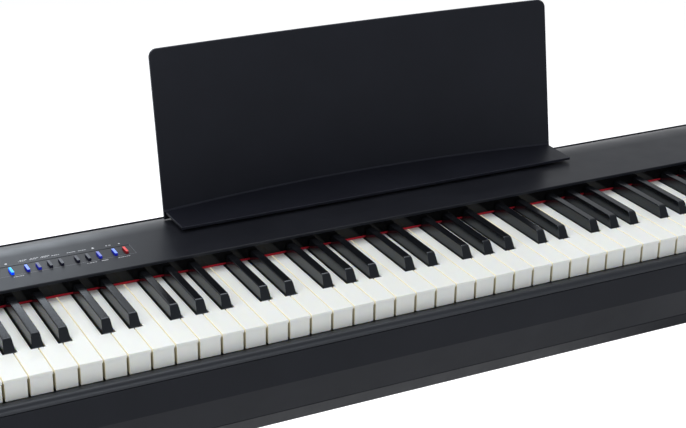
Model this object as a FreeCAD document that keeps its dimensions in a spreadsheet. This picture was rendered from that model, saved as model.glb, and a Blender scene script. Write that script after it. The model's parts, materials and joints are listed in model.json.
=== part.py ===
"""Full-size digital piano on a board stand, as separate pieces in one parametric document.

Millimetres, +X to the player's right, +Y away from the player, +Z up, origin on the floor under the
middle of the stand.  The piano's own pieces are laid out from the key datum: y is counted from the front
edge of the white keys, z from their top surface.
"""
import FreeCAD, Part

import math
import os
from types import SimpleNamespace

import Sketcher

X_AXIS = FreeCAD.Vector(1, 0, 0)
Y_AXIS = FreeCAD.Vector(0, 1, 0)
UP = FreeCAD.Vector(0, 0, 1)

# ---------------------------------------------------------------- driving dimensions

DIMENSIONS = {
    # where the key datum stands
    "key_front_at": -128.0, "key_top_at": 737.0,
    # how far joined pieces and cutters run into each other
    "overlap": 1.0,
    # keyboard
    "white_pitch": 23.5, "white_gap": 1.0, "half_keyboard": 611.0, "white_rise": 22.0,
    "head_length": 48.4, "key_length": 211.0, "key_wall": 2.2, "hollow_end": 190.0,
    "black_foot": 11.5, "black_crown": 9.0, "black_rise": 12.0, "black_front": 49.2,
    "black_crown_front": 56.6, "black_end": 141.5, "black_sink": 1.0, "black_depth": 21.0,
    "black_gap": 1.25, "stem_setback": 1.5, "shift_c_sharp": -2.0, "shift_d_sharp": 2.0,
    "shift_f_sharp": -3.2, "shift_g_sharp": 0.0, "shift_a_sharp": 3.0,
    "pivot_back": 205.0, "pivot_drop": 14.0, "pivot_radius": 1.5, "notch_half": 2.2, "notch_top": 12.2,
    # case
    "half_case": 650.0, "half_inner": 612.5, "shell": 3.0, "case_front": -14.0, "case_rear": 270.0,
    "case_floor": -125.0, "slip_top": -20.5, "slip_back": -2.5, "slip_round": 6.5, "slip_seam": -27.5,
    "seam_gap": 0.5, "slip_tongue": -33.0, "panel_crease": -61.0, "band_back": 4.0, "band_foot": -102.0,
    "strip_back": 20.0, "cover_top": 20.0, "cover_front": 140.0, "cover_bend": 215.0,
    "cover_round": 130.0, "cover_brow": 268.0, "brow_top": 8.7, "lip_top": 6.5, "lip_foot": -2.5,
    "crease_ease": 0.5, "inner_brow": 6.75, "brow_ease_back": 2.0, "brow_ease_down": 1.5,
    "cheek_shoulder": 128.0, "cheek_nose": 9.0, "nose_foot": -4.5, "cheek_round": 14.0,
    "cheek_wall": 4.0,
    # wall behind the keys, and its felt
    "wall_front": 143.0, "wall_thick": 2.0, "felt_low": 0.5, "felt_high": 3.0, "felt_depth": 3.5,
    # key frame
    "frame_floor": -46.0, "frame_front": 6.0, "frame_stop": -36.0, "frame_rear": 215.0, "half_frame": 612.0,
    "frame_rear_wall": 2.0, "rail_half": 1.5, "rod_seat": 0.1, "half_rod": 611.0,
    "rib_thick": 3.0, "rib_front": 30.0, "rib_rear": 210.0, "rib_pitch": 200.0,
    # circuit boards
    "board_thick": 1.6, "contact_front": 60.0, "contact_back": 95.0, "half_contact": 600.0,
    "main_left": -580.0, "main_right": -440.0, "main_front": 120.0, "main_back": 250.0,
    "main_lift": 12.0, "post_radius": 3.0, "post_inset": 8.0, "chip_side": 24.0, "chip_thick": 3.0,
    "chip_pitch": 36.0, "chips_left": 18.0, "chips_front": 40.0,
    "button_board_low": 7.5, "button_board_front": 165.0, "button_board_back": 200.0,
    # sockets
    "jack_level": -54.0, "inlet_x": -513.0, "pedal_x": -470.0, "inlet_side": 14.0, "pedal_side": 16.0,
    "inlet_bore": 2.8, "inlet_deep": 12.0, "large_bore": 3.2, "large_deep": 32.0, "small_bore": 1.8,
    "small_deep": 16.0, "inlet_long": 20.0, "pedal_long": 38.0, "phones_left": -641.0,
    "phones_right": -617.0, "phones_level": -46.0, "phones_rise": 16.0, "phones_long": 40.0,
    "phones_opening_deep": 6.0, "large_x": -634.0, "small_x": -622.5,
    # speakers
    "speaker_x": 330.0, "speaker_y": 130.0, "speaker_radius": 55.0, "mouth_radius": 48.0,
    "speaker_rim": 2.5, "basket_radius": 32.0, "basket_top": 28.0, "magnet_radius": 36.0,
    "magnet_top": 42.0, "cone_edge": 44.0, "cone_lip": 2.0, "cone_root": 14.0, "cone_deep": 20.0,
    "cap_deep": 22.0, "grille_gap": 0.2, "grille_lift": 0.5, "grille_thick": 2.0, "grille_slot": 3.0,
    "grille_pitch": 7.0, "grille_border": 5.0,
    # fasteners and feet of the case
    "screw_x": 560.0, "screw_pitch": 224.0, "screw_front": 40.0, "screw_rear": 245.0, "screw_head": 3.5,
    "screw_head_thick": 2.0, "screw_shank": 1.5, "screw_long": 9.0,
    "foot_x": 592.0, "foot_reach": 100.0, "foot_radius": 12.0, "foot_thick": 6.0,
    # control strip and its buttons
    "strip_left": -560.0, "strip_right": -306.0, "strip_front": 170.0, "strip_back_edge": 193.0,
    "strip_thick": 1.0, "strip_sink": 0.6, "button_width": 2.9, "button_long": 12.8,
    "button_middle": 179.0, "button_proud": 2.3, "button_low": 12.0, "button_play": 0.3,
    "button_flange": 1.0, "button_pitch": 11.7, "flange_thick": 1.2,
    "power_x": -545.0, "mode_x": -434.0, "tone_x": -417.7, "song_x": -366.0, "play_x": -326.0,
    "slider_x": -495.0, "slider_slot": 38.0, "slider_slot_wide": 2.6, "slider_stem": 2.0,
    "slider_cap": 6.0, "slider_cap_long": 14.0, "slider_cap_rise": 4.0, "slider_hover": 0.3,
    # music rest
    "rest_shift": 3.5, "rest_half": 250.0, "rest_sheet": 2.5, "rest_foot": 17.0,
    "rest_low_end": 245.0, "rest_low_bow": 1530.0, "rest_high_end": 276.0, "rest_high_bow": 4810.0,
    "rest_top": 200.0, "rest_corner": 9.0, "ledge_front": 197.5, "ledge_half": 248.0, "ledge_corner": 2.0,
    "ledge_top": 26.0, "ledge_thick": 3.0, "peg_x": 150.0, "peg_y": 236.0, "peg_radius": 4.0,
    "peg_play": 0.4, "peg_foot": 2.0, "shoulder_radius": 6.0, "shoulder_foot": 19.5,
    # stand
    "stand_top": 606.0, "plate_thick": 3.0, "plate_inner": 572.0, "panel_outer": 622.0,
    "panel_thick": 18.0, "panel_half_depth": 125.0, "panel_bow": 1150.0, "bar_top": 35.0,
    "bar_half_width": 25.0, "bar_half_length": 172.5, "bar_low": 5.0, "bar_shoulder": 18.0,
    "bar_slope": 26.0, "pad_radius": 14.0, "pad_reach": 145.0, "board_front": 62.0,
    "upper_board_low": 507.0, "upper_board_high": 600.0, "lower_board_low": 90.0,
    "lower_board_high": 210.0, "bolt_head": 5.0, "bolt_head_thick": 2.5, "bolt_shank": 3.0,
    "bolt_long": 50.0, "bolt_inset": 22.0, "foot_bolt_reach": 60.0, "plate_bolt_reach": 80.0,
    "thumb_x": 582.0, "thumb_reach": 45.0, "thumb_radius": 11.0, "thumb_low": 588.0,
    "thumb_high": 600.0, "thumb_shank": 2.5, "thumb_tip": 620.0,
}


class Size:
    """A length: its value now, and the expression by which the document keeps it."""

    def __init__(self, value, text):
        self.value = value
        self.text = text

    def __add__(self, other):
        other = as_size(other)
        return Size(self.value + other.value, f"({self.text} + {other.text})")

    def __sub__(self, other):
        other = as_size(other)
        return Size(self.value - other.value, f"({self.text} - {other.text})")

    def __mul__(self, factor):
        factor = as_size(factor)
        return Size(self.value * factor.value, f"({self.text} * {factor.text})")

    def __neg__(self):
        return Size(-self.value, f"(0 - {self.text})")


def as_size(length):
    if isinstance(length, Size):
        return length
    return Size(float(length), f"({float(length)})")


def write_sheet(document, values):
    """Put the driving dimensions into a spreadsheet, and return them as sizes bound to its cells."""
    sheet = document.addObject("Spreadsheet::Sheet", "dims")
    sheet.Label = "dims"
    for row, (alias, value) in enumerate(values.items(), start=1):
        sheet.set(f"A{row}", alias)
        sheet.set(f"B{row}", str(value))
        sheet.setAlias(f"B{row}", alias)
    document.recompute()
    return SimpleNamespace(**{alias: Size(value, f"dims.{alias}") for alias, value in values.items()})


LEAST_CUT = 1.0  # cubic millimetres that every pocket takes away at least

doc = FreeCAD.newDocument("digital_piano")
d = write_sheet(doc, DIMENSIONS)
ZERO = as_size(0)
nodes = {}

# ---------------------------------------------------------------- building blocks


def bind(item, **sizes):
    """Set properties of an object to sizes, by expression."""
    for name, size in sizes.items():
        item.setExpression(name, as_size(size).text)


def place(item, x, y, z):
    for axis, size in zip("xyz", (x, y, z)):
        item.setExpression(f"Placement.Base.{axis}", as_size(size).text)


def make(kind, label):
    item = doc.addObject(kind, label)
    item.Label = label
    return item


def node(item):
    """Count an object as a sub-part: its label names its file."""
    nodes[item.Label] = item
    return item


def on_piano(x, y, z):
    """A point given from the key datum, in the row's frame."""
    return as_size(x), d.key_front_at + y, d.key_top_at + z


def box(label, x, y, z, piano=True):
    """A box between two limits along each axis."""
    item = make("Part::Box", label)
    bind(item, Length=as_size(x[1]) - x[0], Width=as_size(y[1]) - y[0], Height=as_size(z[1]) - z[0])
    place(item, *(on_piano(x[0], y[0], z[0]) if piano else (x[0], y[0], z[0])))
    return item


def cylinder(label, radius, length, start, direction=UP, piano=True):
    """A cylinder from the middle of one end along a direction."""
    item = make("Part::Cylinder", label)
    bind(item, Radius=radius, Height=length)
    item.Placement = FreeCAD.Placement(FreeCAD.Vector(), FreeCAD.Rotation(UP, direction))
    place(item, *(on_piano(*start) if piano else start))
    return item


def group(label, members):
    item = make("Part::Compound", label)
    item.Links = members
    return item


def fuse(label, members):
    item = make("Part::MultiFuse", label)
    item.Shapes = members
    return item


def cut(label, base, tools):
    item = make("Part::Cut", label)
    item.Base = base
    item.Tool = tools[0] if len(tools) == 1 else fuse(f"{label}_cutters", tools)
    return item


def arc_through(start, end, radius):
    """The short arc between two points: it turns left for a positive radius, right for a negative one."""
    chord = end - start
    side = math.copysign(1, radius)
    rise = math.sqrt(radius * radius - chord.Length * chord.Length / 4)
    normal = FreeCAD.Vector(-chord.y, chord.x, 0).normalize()
    middle = (start + end) * 0.5 + normal * rise * side
    first, last = (start, end) if side > 0 else (end, start)
    low = math.atan2(first.y - middle.y, first.x - middle.x)
    high = math.atan2(last.y - middle.y, last.x - middle.x)
    if high < low:
        high += 2 * math.pi
    return Part.ArcOfCircle(Part.Circle(middle, UP, abs(radius)), low, high)


def outline(body, plane, corners, offset=ZERO):
    """Sketch a closed outline on one of a body's planes.

    Each corner is (u, v), or (u, v, radius) where an arc leads on to the next corner."""
    sketch = body.newObject("Sketcher::SketchObject", f"{body.Name}_outline")
    support = next(item for item in body.Origin.OriginFeatures if item.Role == plane)
    sketch.AttachmentSupport = [(support, "")]
    sketch.MapMode = "FlatFace"
    sketch.setExpression("AttachmentOffset.Base.z", offset.text)
    points = [FreeCAD.Vector(as_size(corner[0]).value, as_size(corner[1]).value, 0) for corner in corners]
    starts, ends = [], []
    for index, corner in enumerate(corners):
        start, end = points[index], points[(index + 1) % len(points)]
        if len(corner) == 3:
            sketch.addGeometry(arc_through(start, end, as_size(corner[2]).value))
            starts.append(1 if as_size(corner[2]).value > 0 else 2)
        else:
            sketch.addGeometry(Part.LineSegment(start, end))
            starts.append(1)
        ends.append(3 - starts[-1])
    for index, corner in enumerate(corners):
        following = (index + 1) % len(corners)
        sketch.addConstraint(
            Sketcher.Constraint("Coincident", index, ends[index], following, starts[following]))
        for kind, size in zip(("DistanceX", "DistanceY"), corner):
            size = as_size(size)
            number = sketch.addConstraint(
                Sketcher.Constraint(kind, -1, 1, index, starts[index], size.value))
            sketch.setExpression(f"Constraints[{number}]", size.text)
        if len(corner) == 3:
            radius = as_size(corner[2])
            radius = radius if radius.value > 0 else -radius
            number = sketch.addConstraint(Sketcher.Constraint("Radius", index, radius.value))
            sketch.setExpression(f"Constraints[{number}]", radius.text)
    return sketch


def pad(body, sketch, length):
    feature = body.newObject("PartDesign::Pad", f"{body.Name}_pad")
    feature.Profile = sketch
    bind(feature, Length=length)
    return feature


def pocket(body, sketch, length, upward):
    """Cut an outline out of a body, along the sketch's normal if upward, else against it."""
    doc.recompute()
    before = body.Shape.Volume
    feature = body.newObject("PartDesign::Pocket", f"{body.Name}_pocket")
    feature.Profile = sketch
    feature.Reversed = upward
    bind(feature, Length=length)
    doc.recompute()
    if body.Shape.Volume > before - LEAST_CUT:
        raise RuntimeError(f"{feature.Label} cuts nothing")
    return feature


def extrusion(label, plane, corners, start, length, piano=True):
    """A body padded from one outline, placed on the key datum or on the row's origin."""
    body = make("PartDesign::Body", label)
    pad(body, outline(body, plane, corners, as_size(start)), as_size(length))
    place(body, *(on_piano(0, 0, 0) if piano else (0, 0, 0)))
    return body


def rectangle(x, y):
    return [(x[0], y[0]), (x[1], y[0]), (x[1], y[1]), (x[0], y[1])]


def about(middle, width):
    """The two limits of a width about a middle."""
    return middle - as_size(width) * 0.5, middle + as_size(width) * 0.5


def both_sides(make_one):
    """Make a piece at the left and its like at the right."""
    return [make_one(name, side) for name, side in (("left", -1), ("right", 1))]


# ---------------------------------------------------------------- keys


def pivot_notch(body, half_width):
    """Open a key's underside over the hinge rod."""
    corners = rectangle((-half_width, half_width), (d.pivot_back - d.notch_half, d.pivot_back + d.notch_half))
    sketch = outline(body, "XY_Plane", corners, -d.white_rise - d.overlap)
    pocket(body, sketch, d.white_rise - d.notch_top + d.overlap, upward=True)


def white_key(label, left=None, right=None):
    """A white key from its left boundary: a full-width head, and a tail between its black neighbours.

    left and right are the shifts of the black keys beside it, or None where it has no such neighbour."""
    half = d.white_gap * 0.5
    clear = d.black_foot * 0.5 + d.black_gap
    tail_left = half if left is None else left + clear
    tail_right = d.white_pitch - half if right is None else d.white_pitch + right - clear

    def plan(inset, end):
        low, high = half + inset, d.white_pitch - half - inset
        corners = [(low, as_size(inset)), (high, as_size(inset))]
        if right is not None:
            corners += [(high, d.head_length - inset), (tail_right - inset, d.head_length - inset)]
        corners += [(tail_right - inset, end), (tail_left + inset, end)]
        if left is not None:
            corners += [(tail_left + inset, d.head_length - inset), (low, d.head_length - inset)]
        return corners

    body = make("PartDesign::Body", label)
    pad(body, outline(body, "XY_Plane", plan(0, d.key_length), -d.white_rise), d.white_rise)
    hollow = outline(body, "XY_Plane", plan(d.key_wall, d.hollow_end), -d.white_rise)
    pocket(body, hollow, d.white_rise - d.key_wall, upward=True)
    pivot_notch(body, d.white_pitch)
    return body


def black_key(label):
    """A black key about its middle line: a crown that narrows upwards, on a low stem to the hinge."""
    body = make("PartDesign::Body", label)
    foot, crown = d.black_foot * 0.5, d.black_crown * 0.5
    stem_front = d.black_front + d.stem_setback
    stem = rectangle((-foot, foot), (stem_front, d.key_length))
    pad(body, outline(body, "XY_Plane", stem, -d.black_depth), d.black_depth - d.black_sink)
    low = outline(body, "XY_Plane", rectangle((-foot, foot), (d.black_front, d.black_end)), -d.black_sink)
    high = outline(body, "XY_Plane", rectangle((-crown, crown), (d.black_crown_front, d.black_end)),
                   d.black_rise)
    loft = body.newObject("PartDesign::AdditiveLoft", f"{label}_crown")
    loft.Profile = low
    loft.Sections = [high]
    loft.Ruled = True
    inset = d.key_wall
    hollow = rectangle((inset - foot, foot - inset), (stem_front + inset, d.hollow_end))
    pocket(body, outline(body, "XY_Plane", hollow, -d.black_depth), d.black_depth - d.black_sink - inset,
           upward=True)
    pivot_notch(body, d.black_foot)
    return body


WHITES_PER_OCTAVE = 7
FIRST_C = 23
LAST_WHITE = 51
OCTAVES_BELOW = (-3, -2, -1)
OCTAVES_ABOVE = (1, 2, 3)
LOWEST_OCTAVE = -4
WHITE_NEIGHBOURS = {
    "c": (None, d.shift_c_sharp), "d": (d.shift_c_sharp, d.shift_d_sharp), "e": (d.shift_d_sharp, None),
    "f": (None, d.shift_f_sharp), "g": (d.shift_f_sharp, d.shift_g_sharp),
    "a": (d.shift_g_sharp, d.shift_a_sharp), "b": (d.shift_a_sharp, None),
}
BLACK_AFTER = {"c": d.shift_c_sharp, "d": d.shift_d_sharp, "f": d.shift_f_sharp, "g": d.shift_g_sharp,
               "a": d.shift_a_sharp}


def white_edge(number):
    """The x of the left boundary of a white key, counted from 0 at the bass end."""
    return d.white_pitch * number - d.half_keyboard


def repeat_key(master, x, octaves):
    """A link to a key of the middle octave, whole octaves away from it."""
    step = f"{'up' if octaves > 0 else 'down'}_{abs(octaves)}"
    link = make("App::Link", f"{master.Label}_{step}")
    link.LinkedObject = master
    link.LinkTransform = False
    place(link, *on_piano(x + d.white_pitch * (WHITES_PER_OCTAVE * octaves), 0, 0))
    return link


def keyboard():
    """The middle octave's keys one by one, and the rest of the 88 in four groups linked to them."""
    bass_whites, treble_whites, bass_blacks, treble_blacks = [], [], [], []
    for step, letter in enumerate(WHITE_NEIGHBOURS):
        key = node(white_key(f"white_key_{letter}4", *WHITE_NEIGHBOURS[letter]))
        x = white_edge(FIRST_C + step)
        place(key, *on_piano(x, 0, 0))
        bass_whites += [repeat_key(key, x, octave) for octave in OCTAVES_BELOW]
        treble_whites += [repeat_key(key, x, octave) for octave in OCTAVES_ABOVE]
        if letter == "b":
            bass_whites.append(repeat_key(key, x, LOWEST_OCTAVE))
        if letter in BLACK_AFTER:
            key = node(black_key(f"black_key_{letter}_sharp_4"))
            x = white_edge(FIRST_C + step + 1) + BLACK_AFTER[letter]
            place(key, *on_piano(x, 0, 0))
            bass_blacks += [repeat_key(key, x, octave) for octave in OCTAVES_BELOW]
            treble_blacks += [repeat_key(key, x, octave) for octave in OCTAVES_ABOVE]
            if letter == "a":
                bass_blacks.append(repeat_key(key, x, LOWEST_OCTAVE))
    lowest = white_key("lowest_white_key", right=d.shift_a_sharp)
    place(lowest, *on_piano(white_edge(0), 0, 0))
    highest = white_key("highest_white_key")
    place(highest, *on_piano(white_edge(LAST_WHITE), 0, 0))
    node(group("bass_white_keys", bass_whites + [lowest]))
    node(group("treble_white_keys", treble_whites + [highest]))
    node(group("bass_black_keys", bass_blacks))
    node(group("treble_black_keys", treble_blacks))


def key_frame():
    """The steel channel under the keys: front stop, rail below the hinge rod, rear wall up to the cover."""
    low, top = d.frame_floor, d.frame_floor + d.shell
    rail = (d.pivot_back - d.rail_half, d.pivot_back + d.rail_half)
    seat = -d.pivot_drop - d.pivot_radius - d.rod_seat
    rear = d.frame_rear - d.frame_rear_wall
    corners = [
        (d.frame_front, low), (d.frame_rear, low), (d.frame_rear, d.cover_top - d.shell),
        (rear, d.cover_top - d.shell), (rear, top), (rail[1], top), (rail[1], seat), (rail[0], seat),
        (rail[0], top), (d.frame_front + d.shell, top), (d.frame_front + d.shell, d.frame_stop),
        (d.frame_front, d.frame_stop),
    ]
    node(extrusion("key_frame", "YZ_Plane", corners, -d.half_frame, d.half_frame * 2))
    node(cylinder("hinge_rod", d.pivot_radius, d.half_rod * 2, (-d.half_rod, d.pivot_back, -d.pivot_drop),
                  X_AXIS))
    node(box("contact_board", (-d.half_contact, d.half_contact), (d.contact_front, d.contact_back),
             (top, top + d.board_thick)))


# ---------------------------------------------------------------- case


def front_of_case():
    """The rounded slip in front of the keys, and the panel below it with its inward-sloping band."""
    inside = d.case_front + d.shell
    slip = [
        (d.case_front, d.slip_seam), (inside, d.slip_seam), (inside, d.slip_tongue),
        (d.slip_back, d.slip_tongue), (d.slip_back, d.slip_top), (d.case_front + d.slip_round, d.slip_top,
                                                                  d.slip_round),
        (d.case_front, d.slip_top - d.slip_round),
    ]
    node(extrusion("key_slip", "YZ_Plane", slip, -d.half_inner, d.half_inner * 2))
    top = d.slip_seam - d.seam_gap
    panel = [
        (d.case_front, top), (d.case_front, d.panel_crease), (d.band_back, d.band_foot),
        (d.band_back + d.shell, d.band_foot), (inside, d.panel_crease + d.crease_ease),
        (inside, top),
    ]
    node(extrusion("front_panel", "YZ_Plane", panel, -d.half_inner, d.half_inner * 2))


def speaker_places():
    return [(d.speaker_x * side, d.speaker_y) for side in (-1, 1)]


RIBS_EACH_WAY = 2


def bottom_case():
    """The lower shell: front strip, floor with ribs and posts, rear flange, and two speaker mouths."""
    floor_top = d.case_floor + d.shell
    flange = d.case_rear - d.shell
    corners = [
        (d.band_back, d.band_foot - d.seam_gap), (d.strip_back, d.case_floor), (flange, d.case_floor),
        (flange, d.case_floor + d.main_lift), (flange - d.shell, d.case_floor + d.main_lift),
        (flange - d.shell, floor_top), (d.strip_back + d.shell * 0.5, floor_top),
        (d.band_back + d.shell, d.band_foot - d.seam_gap),
    ]
    shell = extrusion("bottom_case_shell", "YZ_Plane", corners, -d.half_inner, d.half_inner * 2)
    members = [shell]
    for number in range(-RIBS_EACH_WAY, RIBS_EACH_WAY + 1):
        members.append(box(f"rib_{number + RIBS_EACH_WAY}", about(d.rib_pitch * number, d.rib_thick),
                           (d.rib_front, d.rib_rear), (floor_top - d.overlap, d.frame_floor)))
    for column, x in enumerate((d.main_left + d.post_inset, d.main_right - d.post_inset)):
        for row, y in enumerate((d.main_front + d.post_inset, d.main_back - d.post_inset)):
            members.append(cylinder(f"post_{column}_{row}", d.post_radius, d.main_lift,
                                    (x, y, d.case_floor + d.overlap)))
    mouths = [cylinder(f"speaker_mouth_{count}", d.mouth_radius, d.shell * 4, (*spot, d.case_floor - d.shell))
              for count, spot in enumerate(speaker_places())]
    node(cut("bottom_case", fuse("bottom_case_blank", members), mouths))


def cheek(name, side):
    """One end of the case: a hollow block with the case's outline, open towards the keys."""
    crown = [
        (d.case_rear, d.case_floor), (d.case_rear, d.lip_top), (d.cover_brow, d.brow_top, d.cover_round),
        (d.cover_bend, d.cover_top), (d.cheek_shoulder, d.cover_top), (ZERO, d.cheek_nose, d.cheek_round),
        (d.case_front, d.nose_foot), (d.case_front, d.panel_crease),
        (d.band_back, d.band_foot), (d.strip_back, d.case_floor),
    ]
    wall = d.cheek_wall
    inside = [
        (d.case_rear - wall, d.case_floor + wall), (d.case_rear - wall, d.lip_top - wall),
        (d.cover_bend, d.cover_top - wall), (d.cheek_shoulder, d.cover_top - wall),
        (wall, d.cheek_nose - wall), (d.case_front + wall, -wall),
        (d.case_front + wall, d.panel_crease), (d.band_back + wall, d.band_foot),
        (d.strip_back + wall, d.case_floor + wall),
    ]
    label = f"{name}_cheek"
    start = d.half_inner if side > 0 else -d.half_case
    body = extrusion(label if side > 0 else f"{label}_shell", "YZ_Plane", crown, start,
                     d.half_case - d.half_inner)
    depth = d.half_case - d.half_inner - wall
    pocket(body, outline(body, "YZ_Plane", inside, d.half_inner * side), depth, upward=side > 0)
    if side > 0:
        return node(body)
    opening = box("phones_opening", (d.phones_left, d.phones_right),
                  (d.case_front - d.overlap, d.case_front + d.phones_opening_deep),
                  about(d.phones_level, d.phones_rise))
    return node(cut(label, body, [opening]))


def button_places():
    """The buttons from left to right, each with its x."""
    rows = {
        d.power_x: ["power_button"], d.mode_x: ["function_button"],
        d.tone_x: ["piano_button", "electric_piano_button", "organ_button", "strings_button"],
        d.song_x: ["song_button", "metronome_button", "tempo_button"],
        d.play_x: ["play_button", "record_button"],
    }
    return [(name, first + d.button_pitch * step) for first, names in rows.items()
            for step, name in enumerate(names)]


def controls():
    """The control strip let into the cover, its buttons and slider, and the board below them."""
    slots = []
    slot_rise = (d.button_low, d.cover_top + d.overlap)
    flange_top = d.cover_top - d.shell - d.button_play

    def button_block(label, x, margin, rise):
        return box(label, about(x, d.button_width + margin * 2),
                   about(d.button_middle, d.button_long + margin * 2), rise)

    for name, x in button_places():
        slots.append(button_block(f"{name}_slot", x, d.button_play, slot_rise))
        cap = button_block(f"{name}_cap", x, ZERO, (d.button_low, d.cover_top + d.button_proud))
        flange = button_block(f"{name}_flange", x, d.button_flange, (flange_top - d.flange_thick, flange_top))
        node(fuse(name, [cap, flange]))
    slots.append(box("volume_slot", about(d.slider_x, d.slider_slot),
                     about(d.button_middle, d.slider_slot_wide), slot_rise))
    cap_low = d.cover_top + d.slider_hover
    knob = box("volume_knob", about(d.slider_x, d.slider_cap), about(d.button_middle, d.slider_cap_long),
               (cap_low, cap_low + d.slider_cap_rise))
    stem = box("volume_stem", about(d.slider_x, d.slider_stem), about(d.button_middle, d.slider_stem),
               (d.button_low, cap_low + d.overlap))
    node(fuse("volume_slider", [knob, stem]))
    cutters = fuse("control_slots", slots)
    strip_top = d.cover_top - d.strip_sink
    strip = box("control_strip_blank", (d.strip_left, d.strip_right), (d.strip_front, d.strip_back_edge),
                (strip_top - d.strip_thick, strip_top))
    node(cut("control_strip", strip, [cutters]))
    node(box("button_board", (d.strip_left, d.strip_right), (d.button_board_front, d.button_board_back),
             (d.button_board_low, d.button_board_low + d.board_thick)))
    return [cutters, box("strip_recess", (d.strip_left, d.strip_right), (d.strip_front, d.strip_back_edge),
                         (strip_top - d.strip_thick, d.cover_top + d.overlap))]


def peg_places():
    return [d.rest_shift + d.peg_x * side for side in (-1, 1)]


def top_cover(cutters):
    """The cover over the rear: flat, then falling in one arc to a lip, with sockets for the rest's pegs."""
    inner_round = d.cover_round - d.shell
    inner_rear = d.case_rear - d.shell
    corners = [
        (d.cover_front, d.cover_top - d.shell), (d.cover_bend, d.cover_top - d.shell, -inner_round),
        (inner_rear - d.brow_ease_back, d.inner_brow), (inner_rear, d.inner_brow - d.brow_ease_down),
        (inner_rear, d.lip_foot),
        (d.case_rear, d.lip_foot), (d.case_rear, d.lip_top), (d.cover_brow, d.brow_top, d.cover_round),
        (d.cover_bend, d.cover_top), (d.cover_front, d.cover_top),
    ]
    shell = extrusion("top_cover_shell", "YZ_Plane", corners, -d.half_inner, d.half_inner * 2)
    sockets = [cylinder(f"peg_socket_{count}", d.peg_radius + d.peg_play,
                        d.cover_top - d.peg_foot + d.overlap, (x, d.peg_y, d.peg_foot))
               for count, x in enumerate(peg_places())]
    node(cut("top_cover", shell, cutters + sockets))


def wall_behind_keys():
    """The glossy wall under the cover's front edge, and the felt between it and the keys."""
    across = (-d.half_inner, d.half_inner)
    node(box("fallboard_strip", across, (d.wall_front, d.wall_front + d.wall_thick),
             (d.felt_high, d.cover_top - d.shell)))
    node(box("key_felt", across, (d.wall_front, d.wall_front + d.felt_depth), (d.felt_low, d.felt_high)))


def sockets():
    """The rear wall with its two sockets, and the headphone sockets in the left cheek."""
    across = (-d.half_inner, d.half_inner)
    panel = box("rear_panel_blank", across, (d.case_rear - d.shell, d.case_rear), (d.case_floor, d.lip_foot))
    openings = []
    kinds = (("dc_inlet", d.inlet_x, d.inlet_side, d.inlet_long, d.inlet_bore, d.inlet_deep),
             ("pedal_socket", d.pedal_x, d.pedal_side, d.pedal_long, d.large_bore, d.large_deep))
    for label, x, side, length, bore, deep in kinds:
        wide, high = about(x, side), about(d.jack_level, side)
        housing = box(f"{label}_housing", wide, (d.case_rear - length, d.case_rear), high)
        hole = cylinder(f"{label}_bore", bore, deep, (x, d.case_rear - deep, d.jack_level), Y_AXIS)
        node(cut(label, housing, [hole]))
        openings.append(box(f"{label}_opening", wide,
                            (d.case_rear - d.shell - d.overlap, d.case_rear + d.overlap), high))
    node(cut("rear_panel", panel, openings))
    housing = box("headphone_housing", (d.phones_left, d.phones_right),
                  (d.case_front, d.case_front + d.phones_long), about(d.phones_level, d.phones_rise))
    holes = [cylinder(f"headphone_bore_{count}", bore, deep, (x, d.case_front, d.phones_level), Y_AXIS)
             for count, (x, bore, deep) in enumerate(((d.large_x, d.large_bore, d.large_deep),
                                                      (d.small_x, d.small_bore, d.small_deep)))]
    node(cut("headphone_sockets", housing, holes))


CHIPS = 3


def main_board():
    """The main circuit board on its posts, with its large chips."""
    low = d.case_floor + d.main_lift + d.overlap
    board = box("main_board_blank", (d.main_left, d.main_right), (d.main_front, d.main_back),
                (low, low + d.board_thick))
    pieces = [board]
    front = d.main_front + d.chips_front
    for count in range(CHIPS):
        left = d.main_left + d.chips_left + d.chip_pitch * count
        pieces.append(box(f"chip_{count}", (left, left + d.chip_side), (front, front + d.chip_side),
                          (low + d.board_thick * 0.5, low + d.board_thick + d.chip_thick)))
    node(fuse("main_board", pieces))


GRILLE_ROWS_EACH_WAY = 5


def speakers():
    """Two round speakers that face down, and the slotted grilles in the mouths below them."""
    profile = [
        (d.cone_edge, d.cone_lip), (d.mouth_radius, ZERO), (d.speaker_radius, ZERO),
        (d.speaker_radius, d.speaker_rim), (d.mouth_radius, d.speaker_rim + d.overlap),
        (d.basket_radius, d.basket_top), (d.magnet_radius, d.basket_top), (d.magnet_radius, d.magnet_top),
        (ZERO, d.magnet_top), (ZERO, d.cap_deep), (d.cone_root, d.cone_deep),
    ]
    pair, grilles = [], []
    for count, (x, y) in enumerate(speaker_places()):
        body = make("PartDesign::Body", f"speaker_{count}")
        sketch = outline(body, "XZ_Plane", profile)
        turn = body.newObject("PartDesign::Revolution", f"speaker_turn_{count}")
        turn.Profile = sketch
        turn.ReferenceAxis = (sketch, ["V_Axis"])
        turn.Angle = 360
        place(body, *on_piano(x, y, d.case_floor + d.shell))
        pair.append(body)
        radius = d.mouth_radius - d.grille_gap
        disc = cylinder(f"grille_disc_{count}", radius, d.grille_thick, (x, y, d.case_floor + d.grille_lift))
        slots = []
        for row in range(-GRILLE_ROWS_EACH_WAY, GRILLE_ROWS_EACH_WAY + 1):
            offset = d.grille_pitch * row
            reach = math.sqrt((radius.value - d.grille_border.value) ** 2 - offset.value ** 2)
            slots.append(box(f"grille_slot_{count}_{row + GRILLE_ROWS_EACH_WAY}", (x - reach, x + reach),
                             about(y + offset, d.grille_slot), (d.case_floor, d.case_floor + d.shell)))
        grilles.append(cut(f"grille_{count}", disc, slots))
    node(group("speakers", pair))
    node(group("speaker_grilles", grilles))


SCREW_COLUMNS = 6


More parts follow.
